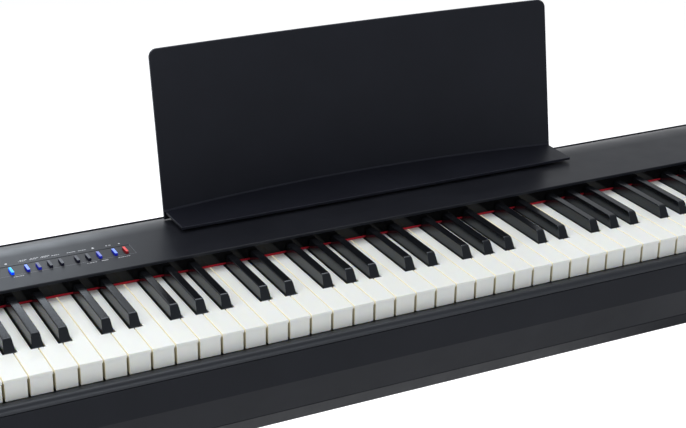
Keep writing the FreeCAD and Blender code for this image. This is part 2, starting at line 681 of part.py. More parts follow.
def case_fasteners():
    """The screws and the rubber feet under the case."""
    screws = []
    for column in range(SCREW_COLUMNS):
        x = -d.screw_x + d.screw_pitch * column
        for row, y in enumerate((d.screw_front, d.screw_rear)):
            head = cylinder(f"screw_head_{column}_{row}", d.screw_head, d.screw_head_thick,
                            (x, y, d.case_floor - d.screw_head_thick))
            shank = cylinder(f"screw_shank_{column}_{row}", d.screw_shank, d.screw_long,
                             (x, y, d.case_floor - d.overlap))
            screws.append(fuse(f"case_screw_{column}_{row}", [head, shank]))
    node(group("case_screws", screws))
    feet = [cylinder(f"rubber_foot_{x}_{y}", d.foot_radius, d.foot_thick,
                     (d.foot_x * x, d.foot_reach * y, d.stand_top), piano=False)
            for x in (-1, 1) for y in (-1, 1)]
    node(group("rubber_feet", feet))


# ---------------------------------------------------------------- music rest


def bowed_strip(end, bow):
    """The plan of the rest's sheet at one height: two arcs of one sheet, hollow towards the player."""
    half, back = d.rest_half, end + d.rest_sheet
    return [(-half, end, -bow), (half, end), (half, back, bow), (-half, back)]


def music_rest():
    """The rest: a bowed sheet that leans back, with a flat ledge above its foot and two pegs."""
    sheet = make("PartDesign::Body", "rest_sheet")
    low = outline(sheet, "XY_Plane", bowed_strip(d.rest_low_end, d.rest_low_bow), d.rest_foot)
    high = outline(sheet, "XY_Plane", bowed_strip(d.rest_high_end, d.rest_high_bow), d.rest_top)
    loft = sheet.newObject("PartDesign::AdditiveLoft", "rest_sheet_loft")
    loft.Profile = low
    loft.Sections = [high]
    loft.Ruled = True
    place(sheet, *on_piano(d.rest_shift, 0, 0))
    corner, half = d.rest_corner, d.rest_half
    face = [
        (-half, d.rest_foot - d.overlap), (half, d.rest_foot - d.overlap),
        (half, d.rest_top - corner, corner),
        (half - corner, d.rest_top), (corner - half, d.rest_top, corner), (-half, d.rest_top - corner),
    ]
    window = make("PartDesign::Body", "rest_window")
    pad(window, outline(window, "XZ_Plane", face, -d.rest_high_end * 2), d.rest_high_end * 2)
    place(window, *on_piano(d.rest_shift, 0, 0))
    trimmed = make("Part::MultiCommon", "rest_sheet_trimmed")
    trimmed.Shapes = [sheet, window]
    half, corner, back = d.ledge_half, d.ledge_corner, d.rest_low_end + d.rest_sheet
    plan = [
        (corner - half, d.ledge_front), (half - corner, d.ledge_front, corner),
        (half, d.ledge_front + corner), (d.rest_half, back, d.rest_low_bow), (-d.rest_half, back),
        (-half, d.ledge_front + corner, corner),
    ]
    ledge = make("PartDesign::Body", "rest_ledge")
    pad(ledge, outline(ledge, "XY_Plane", plan, d.ledge_top - d.ledge_thick), d.ledge_thick)
    place(ledge, *on_piano(d.rest_shift, 0, 0))
    members = [trimmed, ledge]
    for count, x in enumerate(peg_places()):
        top = d.ledge_top - d.overlap
        members.append(cylinder(f"rest_peg_{count}", d.peg_radius, top - d.peg_foot,
                                (x, d.peg_y, d.peg_foot)))
        members.append(cylinder(f"rest_shoulder_{count}", d.shoulder_radius, top - d.shoulder_foot,
                                (x, d.peg_y, d.shoulder_foot)))
    node(fuse("music_rest", members))


# ---------------------------------------------------------------- stand


def side_panel(name, side):
    """One side board, its front edge bowed inwards."""
    half, low, high = d.panel_half_depth, d.bar_top, d.stand_top - d.plate_thick
    corners = [(-half, low), (half, low), (half, high), (-half, high, -d.panel_bow)]
    start = d.panel_outer - d.panel_thick if side > 0 else -d.panel_outer
    return node(extrusion(f"{name}_side_panel", "YZ_Plane", corners, start, d.panel_thick, piano=False))


def foot_bar(name, side):
    middle = (d.panel_outer - d.panel_thick * 0.5) * side
    reach = d.bar_half_length
    corners = [
        (-reach, d.bar_low), (reach, d.bar_low), (reach, d.bar_shoulder), (reach - d.bar_slope, d.bar_top),
        (d.bar_slope - reach, d.bar_top), (-reach, d.bar_shoulder),
    ]
    return extrusion(f"{name}_foot_bar", "YZ_Plane", corners, middle - d.bar_half_width,
                     d.bar_half_width * 2, piano=False)


def bolt(label, start, direction):
    """A bolt whose head stands on a face at start; its shank runs on along the direction."""
    back = [size - d.bolt_head_thick * step for size, step in zip(start, direction)]
    axis = FreeCAD.Vector(*direction)
    head = cylinder(f"{label}_head", d.bolt_head, d.bolt_head_thick, back, axis, piano=False)
    shank = cylinder(f"{label}_shank", d.bolt_shank, d.bolt_long, start, axis, piano=False)
    return fuse(label, [head, shank])


def stand():
    """Two side boards on foot bars, two boards across the back, and steel plates under the piano."""
    both_sides(side_panel)
    node(group("foot_bars", both_sides(foot_bar)))
    middle = d.panel_outer - d.panel_thick * 0.5
    inner = d.panel_outer - d.panel_thick
    depth = (d.board_front, d.board_front + d.panel_thick)
    for name, low, high in (("upper", d.upper_board_low, d.upper_board_high),
                            ("lower", d.lower_board_low, d.lower_board_high)):
        node(box(f"{name}_rear_board", (-inner, inner), depth, (low, high), piano=False))
    pads, plates, bolts, thumbs = [], [], [], []
    board_middle = d.board_front + d.panel_thick * 0.5
    for name, side in (("left", -1), ("right", 1)):
        edges = sorted((d.plate_inner * side, d.panel_outer * side), key=lambda size: size.value)
        plates.append(box(f"{name}_plate", edges, (-d.panel_half_depth, d.panel_half_depth),
                          (d.stand_top - d.plate_thick, d.stand_top), piano=False))
        for reach in (-1, 1):
            pads.append(cylinder(f"{name}_pad_{reach}", d.pad_radius, d.bar_low,
                                 (middle * side, d.pad_reach * reach, ZERO), piano=False))
            knob = cylinder(f"{name}_knob_{reach}", d.thumb_radius, d.thumb_high - d.thumb_low,
                            (d.thumb_x * side, d.thumb_reach * reach, d.thumb_low), piano=False)
            shank = cylinder(f"{name}_thumb_shank_{reach}", d.thumb_shank, d.thumb_tip - d.thumb_low,
                             (d.thumb_x * side, d.thumb_reach * reach, d.thumb_low), piano=False)
            thumbs.append(fuse(f"{name}_thumb_screw_{reach}", [knob, shank]))
            bolts.append(bolt(f"{name}_plate_bolt_{reach}",
                              (middle * side, d.plate_bolt_reach * reach, d.stand_top), (0, 0, -1)))
            bolts.append(bolt(f"{name}_foot_bolt_{reach}",
                              (middle * side, d.foot_bolt_reach * reach, d.bar_low), (0, 0, 1)))
        heights = (d.upper_board_low + d.bolt_inset, d.upper_board_high - d.bolt_inset,
                   d.lower_board_low + d.bolt_inset, d.lower_board_high - d.bolt_inset)
        for count, height in enumerate(heights):
            bolts.append(bolt(f"{name}_board_bolt_{count}", (d.panel_outer * side, board_middle, height),
                              (-side, 0, 0)))
    node(group("foot_pads", pads))
    node(group("support_plates", plates))
    node(group("stand_bolts", bolts))
    node(group("thumb_screws", thumbs))


# ---------------------------------------------------------------- the whole


def check_document():
    """Stop if any object failed, or if any sub-part's shape is missing or not valid."""
    for item in doc.Objects:
        if {"Invalid", "Error"} & set(item.State):
            raise RuntimeError(f"{item.Label} failed: {item.State}")
    for label, item in nodes.items():
        shape = item.Shape
        if shape.isNull() or not shape.isValid() or not shape.Solids:
            raise RuntimeError(f"{label} has no valid shape")


keyboard()
key_frame()
front_of_case()
bottom_case()
both_sides(cheek)
top_cover(controls())
wall_behind_keys()
sockets()
main_board()
speakers()
case_fasteners()
music_rest()
stand()
doc.recompute()
check_document()

os.makedirs("parts", exist_ok=True)
for label, item in nodes.items():
    item.Shape.exportStep(f"parts/{label}.step")
print(f"{len(nodes)} sub-parts written")
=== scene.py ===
"""A digital piano on a board stand: what it looks like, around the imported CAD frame.

Metres, in the frame's own axes: +X to the player's right, +Y away from the player, +Z up.  Most sizes are
given in millimetres from the key datum (y from the white keys' front edge, z from their tops) and turned
into metres by mm() and at().
"""

import json
import math
import random

import bmesh
import bpy
from mathutils import Matrix, Vector


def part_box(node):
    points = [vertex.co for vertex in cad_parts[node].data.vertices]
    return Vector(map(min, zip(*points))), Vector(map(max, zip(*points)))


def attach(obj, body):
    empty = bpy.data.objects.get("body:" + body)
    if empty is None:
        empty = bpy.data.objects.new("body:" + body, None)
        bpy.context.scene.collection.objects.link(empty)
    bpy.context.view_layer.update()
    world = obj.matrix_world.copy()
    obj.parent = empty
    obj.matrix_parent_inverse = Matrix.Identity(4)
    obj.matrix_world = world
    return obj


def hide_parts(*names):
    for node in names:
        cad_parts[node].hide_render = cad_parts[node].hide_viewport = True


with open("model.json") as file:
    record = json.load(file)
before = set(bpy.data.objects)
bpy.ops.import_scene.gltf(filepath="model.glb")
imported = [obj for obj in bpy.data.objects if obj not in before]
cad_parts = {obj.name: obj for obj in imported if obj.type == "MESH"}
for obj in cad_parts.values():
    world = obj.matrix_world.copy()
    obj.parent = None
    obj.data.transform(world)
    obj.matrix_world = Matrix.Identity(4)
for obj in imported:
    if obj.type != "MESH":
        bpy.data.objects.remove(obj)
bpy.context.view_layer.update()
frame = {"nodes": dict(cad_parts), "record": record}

FRAME_BODY = "frame"


def mm(length):
    return length * 0.001


# -------- places read from the frame

FIRST_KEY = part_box("white_key_c4")
KEY_FRONT = FIRST_KEY[0].y
KEY_TOP = FIRST_KEY[1].z
KEY_BACK = FIRST_KEY[1].y
KEY_LOW = FIRST_KEY[0].z
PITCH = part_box("white_key_d4")[0].x - FIRST_KEY[0].x
KEY_GAP = PITCH - (FIRST_KEY[1].x - FIRST_KEY[0].x)
KEYS_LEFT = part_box("bass_white_keys")[0].x - KEY_GAP / 2
INNER_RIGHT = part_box("top_cover")[1].x
CASE_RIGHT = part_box("right_cheek")[1].x
NODE_SLOTS = {entry["node"]: entry["material_slot"] for entry in frame["record"]["subparts"]}


def at(y, z):
    """A point (y, z) in metres from millimetres behind the key fronts and above the key tops."""
    return KEY_FRONT + mm(y), KEY_TOP + mm(z)


def profile(points):
    return [at(y, z) for y, z in points]


def middle_of(box):
    return [(low + high) / 2 for low, high in zip(*box)]


def arc(middle, radius, start, end, steps):
    """Points of an arc about a middle, from one angle to another in degrees."""
    angles = [math.radians(start + (end - start) * step / steps) for step in range(steps + 1)]
    return [(middle[0] + radius * math.cos(a), middle[1] + radius * math.sin(a)) for a in angles]


def add_object(name, data):
    """A new object in the scene."""
    item = bpy.data.objects.new(name, data)
    bpy.context.scene.collection.objects.link(item)
    return item


# -------- camera, lights and floor

CAMERA_PLACE = Vector((-0.7748, -1.3334, 1.4106))
CAMERA_YAW = math.radians(27.22)
CAMERA_PITCH = math.radians(22.90)
CAMERA_ROLL = math.radians(0.79)
CAMERA_LENS = 80.56
FLOOR_REACH = 40.0


def add_camera():
    """The camera looks from the player's left shoulder down along the keys."""
    forward = Vector((math.sin(CAMERA_YAW) * math.cos(CAMERA_PITCH),
                      math.cos(CAMERA_YAW) * math.cos(CAMERA_PITCH), -math.sin(CAMERA_PITCH)))
    level = Vector((math.cos(CAMERA_YAW), -math.sin(CAMERA_YAW), 0))
    above = level.cross(forward)
    right = level * math.cos(CAMERA_ROLL) + above * math.sin(CAMERA_ROLL)
    up = above * math.cos(CAMERA_ROLL) - level * math.sin(CAMERA_ROLL)
    turn = Matrix((right, up, -forward)).transposed()
    camera = add_object("camera", bpy.data.cameras.new("camera"))
    camera.data.lens = CAMERA_LENS
    camera.data.sensor_width = 36.0
    camera.matrix_world = Matrix.Translation(CAMERA_PLACE) @ turn.to_4x4()
    bpy.context.scene.camera = camera


def add_area_light(name, place, target, size, power, color=(1, 1, 1)):
    """A soft box of size (width, height) that faces a point."""
    lamp = bpy.data.lights.new(name, "AREA")
    lamp.color = color
    lamp.shape = "RECTANGLE"
    lamp.size, lamp.size_y = size
    lamp.energy = power
    light = add_object(name, lamp)
    light.visible_camera = False
    light.location = Vector(place)
    light.rotation_mode = "QUATERNION"
    light.rotation_quaternion = (Vector(target) - Vector(place)).to_track_quat("-Z", "Y")


def ramp(tree, output, source, result, interpolation="LINEAR"):
    """A value that runs between two results while an output runs through a source range."""
    node = tree.nodes.new("ShaderNodeMapRange")
    node.interpolation_type = interpolation
    node.inputs["From Min"].default_value, node.inputs["From Max"].default_value = source
    node.inputs["To Min"].default_value, node.inputs["To Max"].default_value = result
    tree.links.new(output, node.inputs["Value"])
    return node.outputs["Result"]


def axis_value(tree, vector, axis):
    split = tree.nodes.new("ShaderNodeSeparateXYZ")
    tree.links.new(vector, split.inputs["Vector"])
    return split.outputs[axis]


def sky(strength_front, strength_back):
    """An even white sky, dimmer before the piano than behind it."""
    world = bpy.data.worlds.new("studio")
    world.use_nodes = True
    tree = world.node_tree
    direction = tree.nodes.new("ShaderNodeTexCoord").outputs["Generated"]
    depth = axis_value(tree, direction, "Y")
    strength = ramp(tree, depth, (-0.8, 0.9), (strength_front, strength_back), "SMOOTHSTEP")
    background = tree.nodes["Background"]
    background.inputs["Color"].default_value = (0.95, 0.97, 1.0, 1.0)
    tree.links.new(strength, background.inputs["Strength"])
    return world


def add_floor():
    """A pale floor with a glow of its own, faint before the piano and fuller behind it; the fading is
    painted shade before and under the piano.
    """
    corners = [(-FLOOR_REACH, -FLOOR_REACH, 0), (FLOOR_REACH, -FLOOR_REACH, 0),
               (FLOOR_REACH, FLOOR_REACH, 0), (-FLOOR_REACH, FLOOR_REACH, 0)]
    mesh = bpy.data.meshes.new("floor")
    mesh.from_pydata(corners, [], [(0, 1, 2, 3)])
    floor = add_object("floor", mesh)
    shader = Shader("floor_glow_with_painted_shade", (0.9, 0.9, 0.9), 0.9, Emission_Color=(1, 1, 1, 1))
    # painted shade: the floor's glow fades out before and under the piano
    shader.glow("Y", (-0.3, 0.5), (0.06, 0.5), "SMOOTHSTEP")
    mesh.materials.append(shader.material)


def add_studio():
    """A white sky, with soft boxes overhead, at the left, behind and before."""
    bpy.context.scene.view_settings.view_transform = "Standard"
    bpy.context.scene.world = sky(0.38, 0.60)
    add_area_light("overhead", (-0.2, 0.9, 3.0), (0, 0, 0.7), (3.0, 1.6), 41)
    add_area_light("left_box", (-2.6, -0.5, 2.2), (-0.3, 0, 0.7), (1.2, 1.2), 16)
    add_area_light("back_box", (-0.15, 3.0, 1.55), (-0.5, 0, 0.75), (1.3, 1.1), 13, (0.84, 0.92, 1.0))
    add_area_light("front_box", (0.3, -3.6, 1.7), (0, 0, 0.7), (2.4, 0.6), 24)


# -------- materials

# where most values of a noise lie
NOISE_RANGE = (0.3, 0.7)
MATERIALS = {}


class Shader:
    """A material of the scene: its node tree, its Principled shader and its object coordinates."""

    def __init__(self, name, color, roughness, **sockets):
        self.material = MATERIALS[name] = bpy.data.materials.new(name)
        self.material.use_nodes = True
        self.tree = self.material.node_tree
        self.principled = self.tree.nodes["Principled BSDF"]
        self.color = color
        self.roughness = roughness
        self.principled.inputs["Base Color"].default_value = (*color, 1)
        self.principled.inputs["Roughness"].default_value = roughness
        for socket, value in sockets.items():
            self.principled.inputs[socket.replace("_", " ")].default_value = value
        self.place = self.tree.nodes.new("ShaderNodeTexCoord").outputs["Object"]

    def link(self, output, target):
        self.tree.links.new(output, target)

    def stretched(self, scale):
        """The object coordinates, scaled apart along the axes."""
        mapping = self.tree.nodes.new("ShaderNodeMapping")
        mapping.inputs["Scale"].default_value = scale
        self.link(self.place, mapping.inputs["Vector"])
        return mapping.outputs["Vector"]

    def noise(self, size, detail=2.0, scale=None):
        """Noise whose grains are about that many millimetres."""
        noise = self.tree.nodes.new("ShaderNodeTexNoise")
        noise.inputs["Scale"].default_value = 1 / mm(size)
        noise.inputs["Detail"].default_value = detail
        self.link(self.stretched(scale) if scale else self.place, noise.inputs["Vector"])
        return noise.outputs["Fac"]

    def map_range(self, output, low, high, source=NOISE_RANGE):
        return ramp(self.tree, output, source, (low, high))

    def mix_color(self, factor, low, high):
        """Base colour mixed, by an output, from a share of the main colour, or from what already feeds
        it, to another share of the main colour."""
        mix = self.tree.nodes.new("ShaderNodeMix")
        mix.data_type = "RGBA"
        for socket, share in (("A", low), ("B", high)):
            mix.inputs[socket].default_value = (*[part * share for part in self.color], 1)
        self.link(factor, mix.inputs["Factor"])
        base = self.principled.inputs["Base Color"]
        if base.links:
            self.link(base.links[0].from_socket, mix.inputs["A"])
        self.link(mix.outputs["Result"], base)

    def vary_color(self, output, low, high, source=NOISE_RANGE):
        """Base colour between two shares of the main colour, by noise."""
        self.mix_color(self.map_range(output, 0, 1, source), low, high)

    def glow(self, axis, source, strengths, interpolation="LINEAR"):
        """Emission whose strength changes along an axis of the object coordinates."""
        strength = ramp(self.tree, axis_value(self.tree, self.place, axis), source, strengths,
                        interpolation)
        self.link(strength, self.principled.inputs["Emission Strength"])

    def vary_roughness(self, output, spread):
        roughness = self.map_range(output, self.roughness - spread, self.roughness + spread)
        self.link(roughness, self.principled.inputs["Roughness"])

    def wear_and_highlight_edges(self, width, lift):
        """Paler colour along the edges, within a width in millimetres, broken up by noise: partly wear,
        partly a painted highlight along the edges.
        """
        bevel = self.tree.nodes.new("ShaderNodeBevel")
        bevel.samples = 4
        bevel.inputs["Radius"].default_value = mm(width)
        facing = self.tree.nodes.new("ShaderNodeVectorMath")
        facing.operation = "DOT_PRODUCT"
        self.link(bevel.outputs["Normal"], facing.inputs[0])
        self.link(self.tree.nodes.new("ShaderNodeNewGeometry").outputs["Normal"], facing.inputs[1])
        # the cosines at which an edge is fully lightened by wear and painted highlight, and not at all
        edge = self.map_range(facing.outputs["Value"], 1, 0, (0.86, 0.995))
        share = self.tree.nodes.new("ShaderNodeMath")
        share.operation = "MULTIPLY"
        self.link(edge, share.inputs[0])
        self.link(self.map_range(self.noise(7, 4), 0.55, 1), share.inputs[1])
        self.mix_color(share.outputs["Value"], 1, lift)

    def bump(self, output, depth, strength=1.0):
        """Bump of a depth in millimetres; each further call adds a layer."""
        node = self.tree.nodes.new("ShaderNodeBump")
        node.inputs["Strength"].default_value = strength
        node.inputs["Distance"].default_value = mm(depth)
        self.link(output, node.inputs["Height"])
        normal = self.principled.inputs["Normal"]
        if normal.links:
            self.link(normal.links[0].from_socket, node.inputs["Normal"])
        self.link(node.outputs["Normal"], normal)


def textured_plastic(name, color, roughness, grain=0.45, depth=0.02, specular=0.25, edge_wear_and_highlight=2.2):
    """Moulded plastic with a fine spark-eroded grain, paler along its edges: partly wear from handling,
    partly a painted highlight.
    """
    shader = Shader(name, color, roughness, Specular_IOR_Level=specular, Specular_Tint=(0.86, 0.92, 1.0, 1))
    shader.vary_color(shader.noise(60, 3), 0.9, 1.1)
    shader.vary_roughness(shader.noise(25, 4), 0.03)
    shader.bump(shader.noise(grain, 3), depth, 0.6)
    # paler edges: part wear, part painted highlight
    shader.wear_and_highlight_edges(0.9, edge_wear_and_highlight)


def smooth_plastic(name, color, roughness, specular=0.5, spread=0.03, tint=(1, 1, 1)):
    """Smooth plastic with the slight waviness of a moulding, and fine handling haze."""
    shader = Shader(name, color, roughness, Specular_IOR_Level=specular, Specular_Tint=(*tint, 1))
    shader.vary_color(shader.noise(45, 2), 0.97, 1.03)
    shader.vary_roughness(shader.noise(30, 2), spread)
    shader.bump(shader.noise(14, 2), 0.01, 0.3)


def key_plastic(name, color, roughness, shine_through):
    """The keys' resin, which light enters a little, with the finest tooth on its surface."""
    shader = Shader(name, color, roughness, Subsurface_Weight=shine_through, Subsurface_Scale=mm(3),
                    Subsurface_Radius=(1.0, 0.82, 0.5), Specular_IOR_Level=0.4)
    shader.vary_color(shader.noise(120, 1), 0.985, 1.015)
    shader.vary_roughness(shader.noise(60, 1), 0.02)
    shader.bump(shader.noise(0.5, 2), 0.004, 0.3)


def side_plastic(name, color, roughness):
    """The keys' unpolished sides: warmer resin with a painted glow near their tops, which stands for the
    light passed down from the tops.
    """
    shader = Shader(name, color, roughness, Emission_Color=(1.0, 0.92, 0.72, 1))
    # painted glow: emission that fades in over the top 5 mm of the sides, standing for light passed down
    # from the key tops
    shader.glow("Z", (KEY_TOP - mm(5), KEY_TOP), (0.0, 0.27))
    shader.vary_color(shader.noise(90, 1), 0.95, 1.05)
    shader.vary_roughness(shader.noise(20, 2), 0.04)
    shader.bump(shader.noise(0.7, 2), 0.01, 0.4)


def metal(name, color, roughness, brushed=None):
    """Metal, with brushing drawn out along one axis if its stretch is given."""
    shader = Shader(name, color, roughness, Metallic=1.0)
    grain = shader.noise(0.4, 4, brushed) if brushed else shader.noise(0.8, 4)
    shader.vary_roughness(grain, 0.06)
    shader.bump(grain, 0.01, 0.4)


def powder_coat(name, color, roughness):
    """Painted steel with the fine orange peel of powder coat."""
    shader = Shader(name, color, roughness)
    shader.vary_color(shader.noise(40, 2), 0.92, 1.08)
    shader.bump(shader.noise(1.2, 2), 0.03, 0.5)
    # paler edges: part wear, part painted highlight
    shader.wear_and_highlight_edges(0.8, 3.0)


def lit_lens(name, color, glow_front, glow_back):
    """A button lens with a lamp under it, whose glow changes from its near to its far end."""
    shader = Shader(name, color, 0.3, Emission_Color=(*color, 1))
    near, far = (corner.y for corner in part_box("play_button"))
    shader.glow("Y", (near + mm(2), far - mm(3)), (glow_front, glow_back))
    shader.vary_color(shader.noise(3, 2), 0.85, 1.15)
    shader.bump(shader.noise(0.6, 2), 0.01, 0.4)


def felt(name, color):
    shader = Shader(name, color, 0.95, Sheen_Weight=0.1, Sheen_Roughness=0.5)
    shader.vary_color(shader.noise(0.9, 5), 0.7, 1.3)
    shader.bump(shader.noise(0.5, 5), 0.25, 0.8)


def laminate(name, color, roughness, along):
    """Black laminated board: a fine embossed wood grain drawn out along one axis."""
    stretch = [1.0, 1.0, 1.0]
    stretch[along] = 0.04
    shader = Shader(name, color, roughness)
    shader.vary_color(shader.noise(6, 6, stretch), 0.8, 1.25)
    shader.vary_roughness(shader.noise(3, 5, stretch), 0.05)
    shader.bump(shader.noise(1.6, 6, stretch), 0.05, 0.5)
    # paler edges: part wear, part painted highlight
    shader.wear_and_highlight_edges(1.5, 1.8)


def rubber(name, color):
    shader = Shader(name, color, 0.8)
    shader.vary_color(shader.noise(9, 3), 0.85, 1.2)
    shader.bump(shader.noise(0.8, 4), 0.05, 0.6)


def circuit(name, color):
    """Green solder mask with a faint pattern of tracks."""
    shader = Shader(name, color, 0.35)
    shader.vary_color(shader.noise(4, 1, (1, 0.1, 1)), 0.75, 1.3, (0.48, 0.52))
    shader.bump(shader.noise(4, 1, (1, 0.1, 1)), 0.03, 0.5)


CASE_BLACK = (0.0105, 0.0112, 0.0152)
REST_BLACK = (0.0090, 0.0097, 0.0150)
BOARD_BLACK = (0.0105, 0.0110, 0.0140)

textured_plastic("case_plastic", CASE_BLACK, 0.40, specular=0.19)
textured_plastic("cover_plastic", CASE_BLACK, 0.32, specular=0.21)
textured_plastic("slip_plastic", CASE_BLACK, 0.42, depth=0.006, specular=0.62)
smooth_plastic("strip_plastic", (0.0075, 0.0082, 0.0125), 0.34, specular=0.24)
smooth_plastic("gloss_black", (0.003, 0.003, 0.0035), 0.15, specular=0.16)
felt("red_felt", (0.45, 0.001, 0.016))
# the key sides, with a painted glow near their tops
side_plastic("key_side_painted_glow", (0.78, 0.74, 0.58), 0.5)
key_plastic("white_key", (0.845, 0.865, 0.835), 0.34, 0.3)
smooth_plastic("black_key", (0.0032, 0.0035, 0.0046), 0.19, specular=0.52, spread=0.015,
               tint=(0.80, 0.89, 1.0))
metal("frame_steel", (0.55, 0.56, 0.57), 0.35, (0.05, 1, 1))
metal("bright_steel", (0.65, 0.65, 0.65), 0.2, (0.05, 1, 1))
metal("dark_steel", (0.07, 0.07, 0.075), 0.35)
circuit("circuit_board", (0.02, 0.16, 0.06))
smooth_plastic("socket_plastic", (0.008, 0.008, 0.009), 0.4, specular=0.3)
textured_plastic("speaker_black", (0.02, 0.02, 0.021), 0.6, 0.8, 0.05)
powder_coat("grille_steel", (0.012, 0.012, 0.013), 0.5)
rubber("foot_rubber", (0.018, 0.018, 0.018))
laminate("stand_board", BOARD_BLACK, 0.42, 2)
laminate("stand_board_across", BOARD_BLACK, 0.42, 0)
laminate("stand_board_deep", BOARD_BLACK, 0.42, 1)
powder_coat("stand_metal", (0.014, 0.014, 0.015), 0.45)
textured_plastic("knob_plastic", (0.012, 0.012, 0.013), 0.5, 0.6, 0.04)
# the rest's edges much paler: a strong painted highlight along its edges, with some wear
textured_plastic("rest_plastic", REST_BLACK, 0.42, specular=0.2, edge_wear_and_highlight=7.0)
smooth_plastic("button_plain", (0.075, 0.08, 0.10), 0.4)
smooth_plastic("plain_side", (0.010, 0.011, 0.030), 0.4, specular=0.25)
lit_lens("button_blue", (0.19, 0.32, 0.95), 0.25, 0.35)
lit_lens("button_pale_blue", (0.16, 0.20, 0.62), 0.12, 0.22)
lit_lens("button_bright_blue", (0.0, 0.42, 1.0), 0.55, 0.75)
lit_lens("button_dim_blue", (0.09, 0.10, 0.20), 0.02, 0.06)
lit_lens("button_red", (0.72, 0.055, 0.055), 0.10, 0.30)
lit_lens("blue_side", (0.006, 0.012, 0.32), 0.5, 0.3)
lit_lens("bright_blue_side", (0.0, 0.05, 0.85), 0.9, 0.6)
lit_lens("red_side", (0.22, 0.008, 0.012), 0.2, 0.1)
# grey of the painted highlight line along the control strip's edges
smooth_plastic("painted_highlight_grey", (0.22, 0.225, 0.25), 0.5)
smooth_plastic("print", (0.72, 0.73, 0.77), 0.6)


# -------- mesh tools


def new_mesh(name, bm):
    bmesh.ops.recalc_face_normals(bm, faces=bm.faces)
    mesh = bpy.data.meshes.new(name)
    bm.to_mesh(mesh)
    bm.free()
    return mesh


def new_piece(name, source, material, body=FRAME_BODY, slot=None, nodes=(), bevel=0.0, segments=2):
    """Show a mesh as a piece of the object: material, softened edges, body, and nodes it replaces; the slot
    argument is not used.
    """
    mesh = source if isinstance(source, bpy.types.Mesh) else new_mesh(name, source)
    piece = add_object(name, mesh)
    if not mesh.materials:
        mesh.materials.append(MATERIALS[material])
    mesh.shade_smooth()
    soften(piece, bevel, segments)
    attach(piece, body)
    if nodes:
        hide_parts(*nodes)


def soften(piece, width, segments=2):
    """Round an object's edges by a width in millimetres, with flat faces that stay flat in shading."""
    if width:
        bevel = piece.modifiers.new("edges", "BEVEL")
        bevel.width = mm(width)
        bevel.segments = segments
        bevel.limit_method = "ANGLE"
        bevel.angle_limit = math.radians(23)
        bevel.use_clamp_overlap = True
    piece.modifiers.new("flat_faces", "WEIGHTED_NORMAL").keep_sharp = True


def swept(sections):
    """A closed solid through sections of equally many points."""
    bm = bmesh.new()
    rings = [[bm.verts.new(point) for point in section] for section in sections]
    for end in (rings[0], rings[-1]):
        bm.faces.new(end)
    count = len(rings[0])
    for first, second in zip(rings, rings[1:]):
        for step in range(count):
            following = (step + 1) % count
            bm.faces.new((first[step], first[following], second[following], second[step]))
    return bm


def prism(outline, low, high, axis=0):
    """A closed bar: an outline in the other two axes, in X, Y, Z order, drawn out along one axis."""
    return swept([[(*point[:axis], depth, *point[axis:]) for point in outline] for depth in (low, high)])


def rounded_rectangle(low, high, radius, steps=4):
    """The outline of a rectangle with round corners."""
    corners = ((high[0] - radius, high[1] - radius, 0), (low[0] + radius, high[1] - radius, 90),
               (low[0] + radius, low[1] + radius, 180), (high[0] - radius, low[1] + radius, 270))
    return [point for x, y, turn in corners for point in arc((x, y), radius, turn, turn + 90, steps)]


def inset_rectangle(box, inset, radius):
    """The round-cornered outline of a box seen from above, drawn in by a width."""
    low, high = box
    return rounded_rectangle((low.x + inset, low.y + inset), (high.x - inset, high.y - inset), radius)


def circle(middle, radius, steps=32):
    return arc(middle, radius, 0, 360 - 360 / steps, steps - 1)


def lathe(points, middle, steps=48):
    """A solid of revolution about an upright axis, from (radius, z) points that start and end on it."""
    bm = bmesh.new()
    rings = []
    for radius, z in points:
        spots = circle(middle, radius, steps) if radius else [middle]
        rings.append([bm.verts.new((*spot, z)) for spot in spots])
    for low, high in zip(rings, rings[1:]):
        for step in range(steps):
            following = (step + 1) % steps
            corners = [low[step % len(low)], low[following % len(low)], high[following % len(high)],
                       high[step % len(high)]]
            bm.faces.new(list(dict.fromkeys(corners)))
    return bm


def turned(bm, direction, middle):
    """Turn a mesh made about +Z so that it points along a direction, about a middle."""
    turn = Vector(direction).to_track_quat("Z", "Y").to_matrix().to_4x4()
    middle = Vector(middle)
    bmesh.ops.transform(bm, matrix=Matrix.Translation(middle) @ turn @ Matrix.Translation(-middle),
                        verts=bm.verts)
    return bm


def merged(meshes):
    """One mesh out of several that don't touch or overlap."""
    whole = bmesh.new()
    for bm in meshes:
        part = bpy.data.meshes.new("part")
        bmesh.ops.recalc_face_normals(bm, faces=bm.faces)
        bm.to_mesh(part)
        bm.free()
        whole.from_mesh(part)
        bpy.data.meshes.remove(part)
    return whole


def carved(bm, cutters):
    """A mesh with other meshes cut out of it."""
    solids = []
    for name, source in (("blank", bm), ("cutters", merged(cutters))):
        solids.append(add_object(name, new_mesh(name, source)))
    blank, tool = solids
    boolean = blank.modifiers.new("cut", "BOOLEAN")
    boolean.operation = "DIFFERENCE"
    boolean.solver = "EXACT"
    boolean.object = tool
    bpy.context.view_layer.update()
    evaluated = blank.evaluated_get(bpy.context.evaluated_depsgraph_get())
    result = bmesh.new()
    result.from_mesh(evaluated.to_mesh())
    evaluated.to_mesh_clear()
    for solid in solids:
        mesh = solid.data
        bpy.data.objects.remove(solid)
        bpy.data.meshes.remove(mesh)
    return result


def block(low, high):
    """A cutter or a plain core with square corners."""
    return prism([(low[1], low[2]), (high[1], low[2]), (high[1], high[2]), (low[1], high[2])],
                 low[0], high[0])


# -------- keys

HEAD_LENGTH = mm(48.4)
WHITE_LETTERS = "abcdefg"
BLACK_BODY_FRONT = 49.2
BLACK_CROWN = 12.0
WHITE_COUNT = 52
FIRST_SINGLE = 23
LAST_SINGLE = 29
LIP = mm(0.7)
LIP_RISE = mm(3.4)


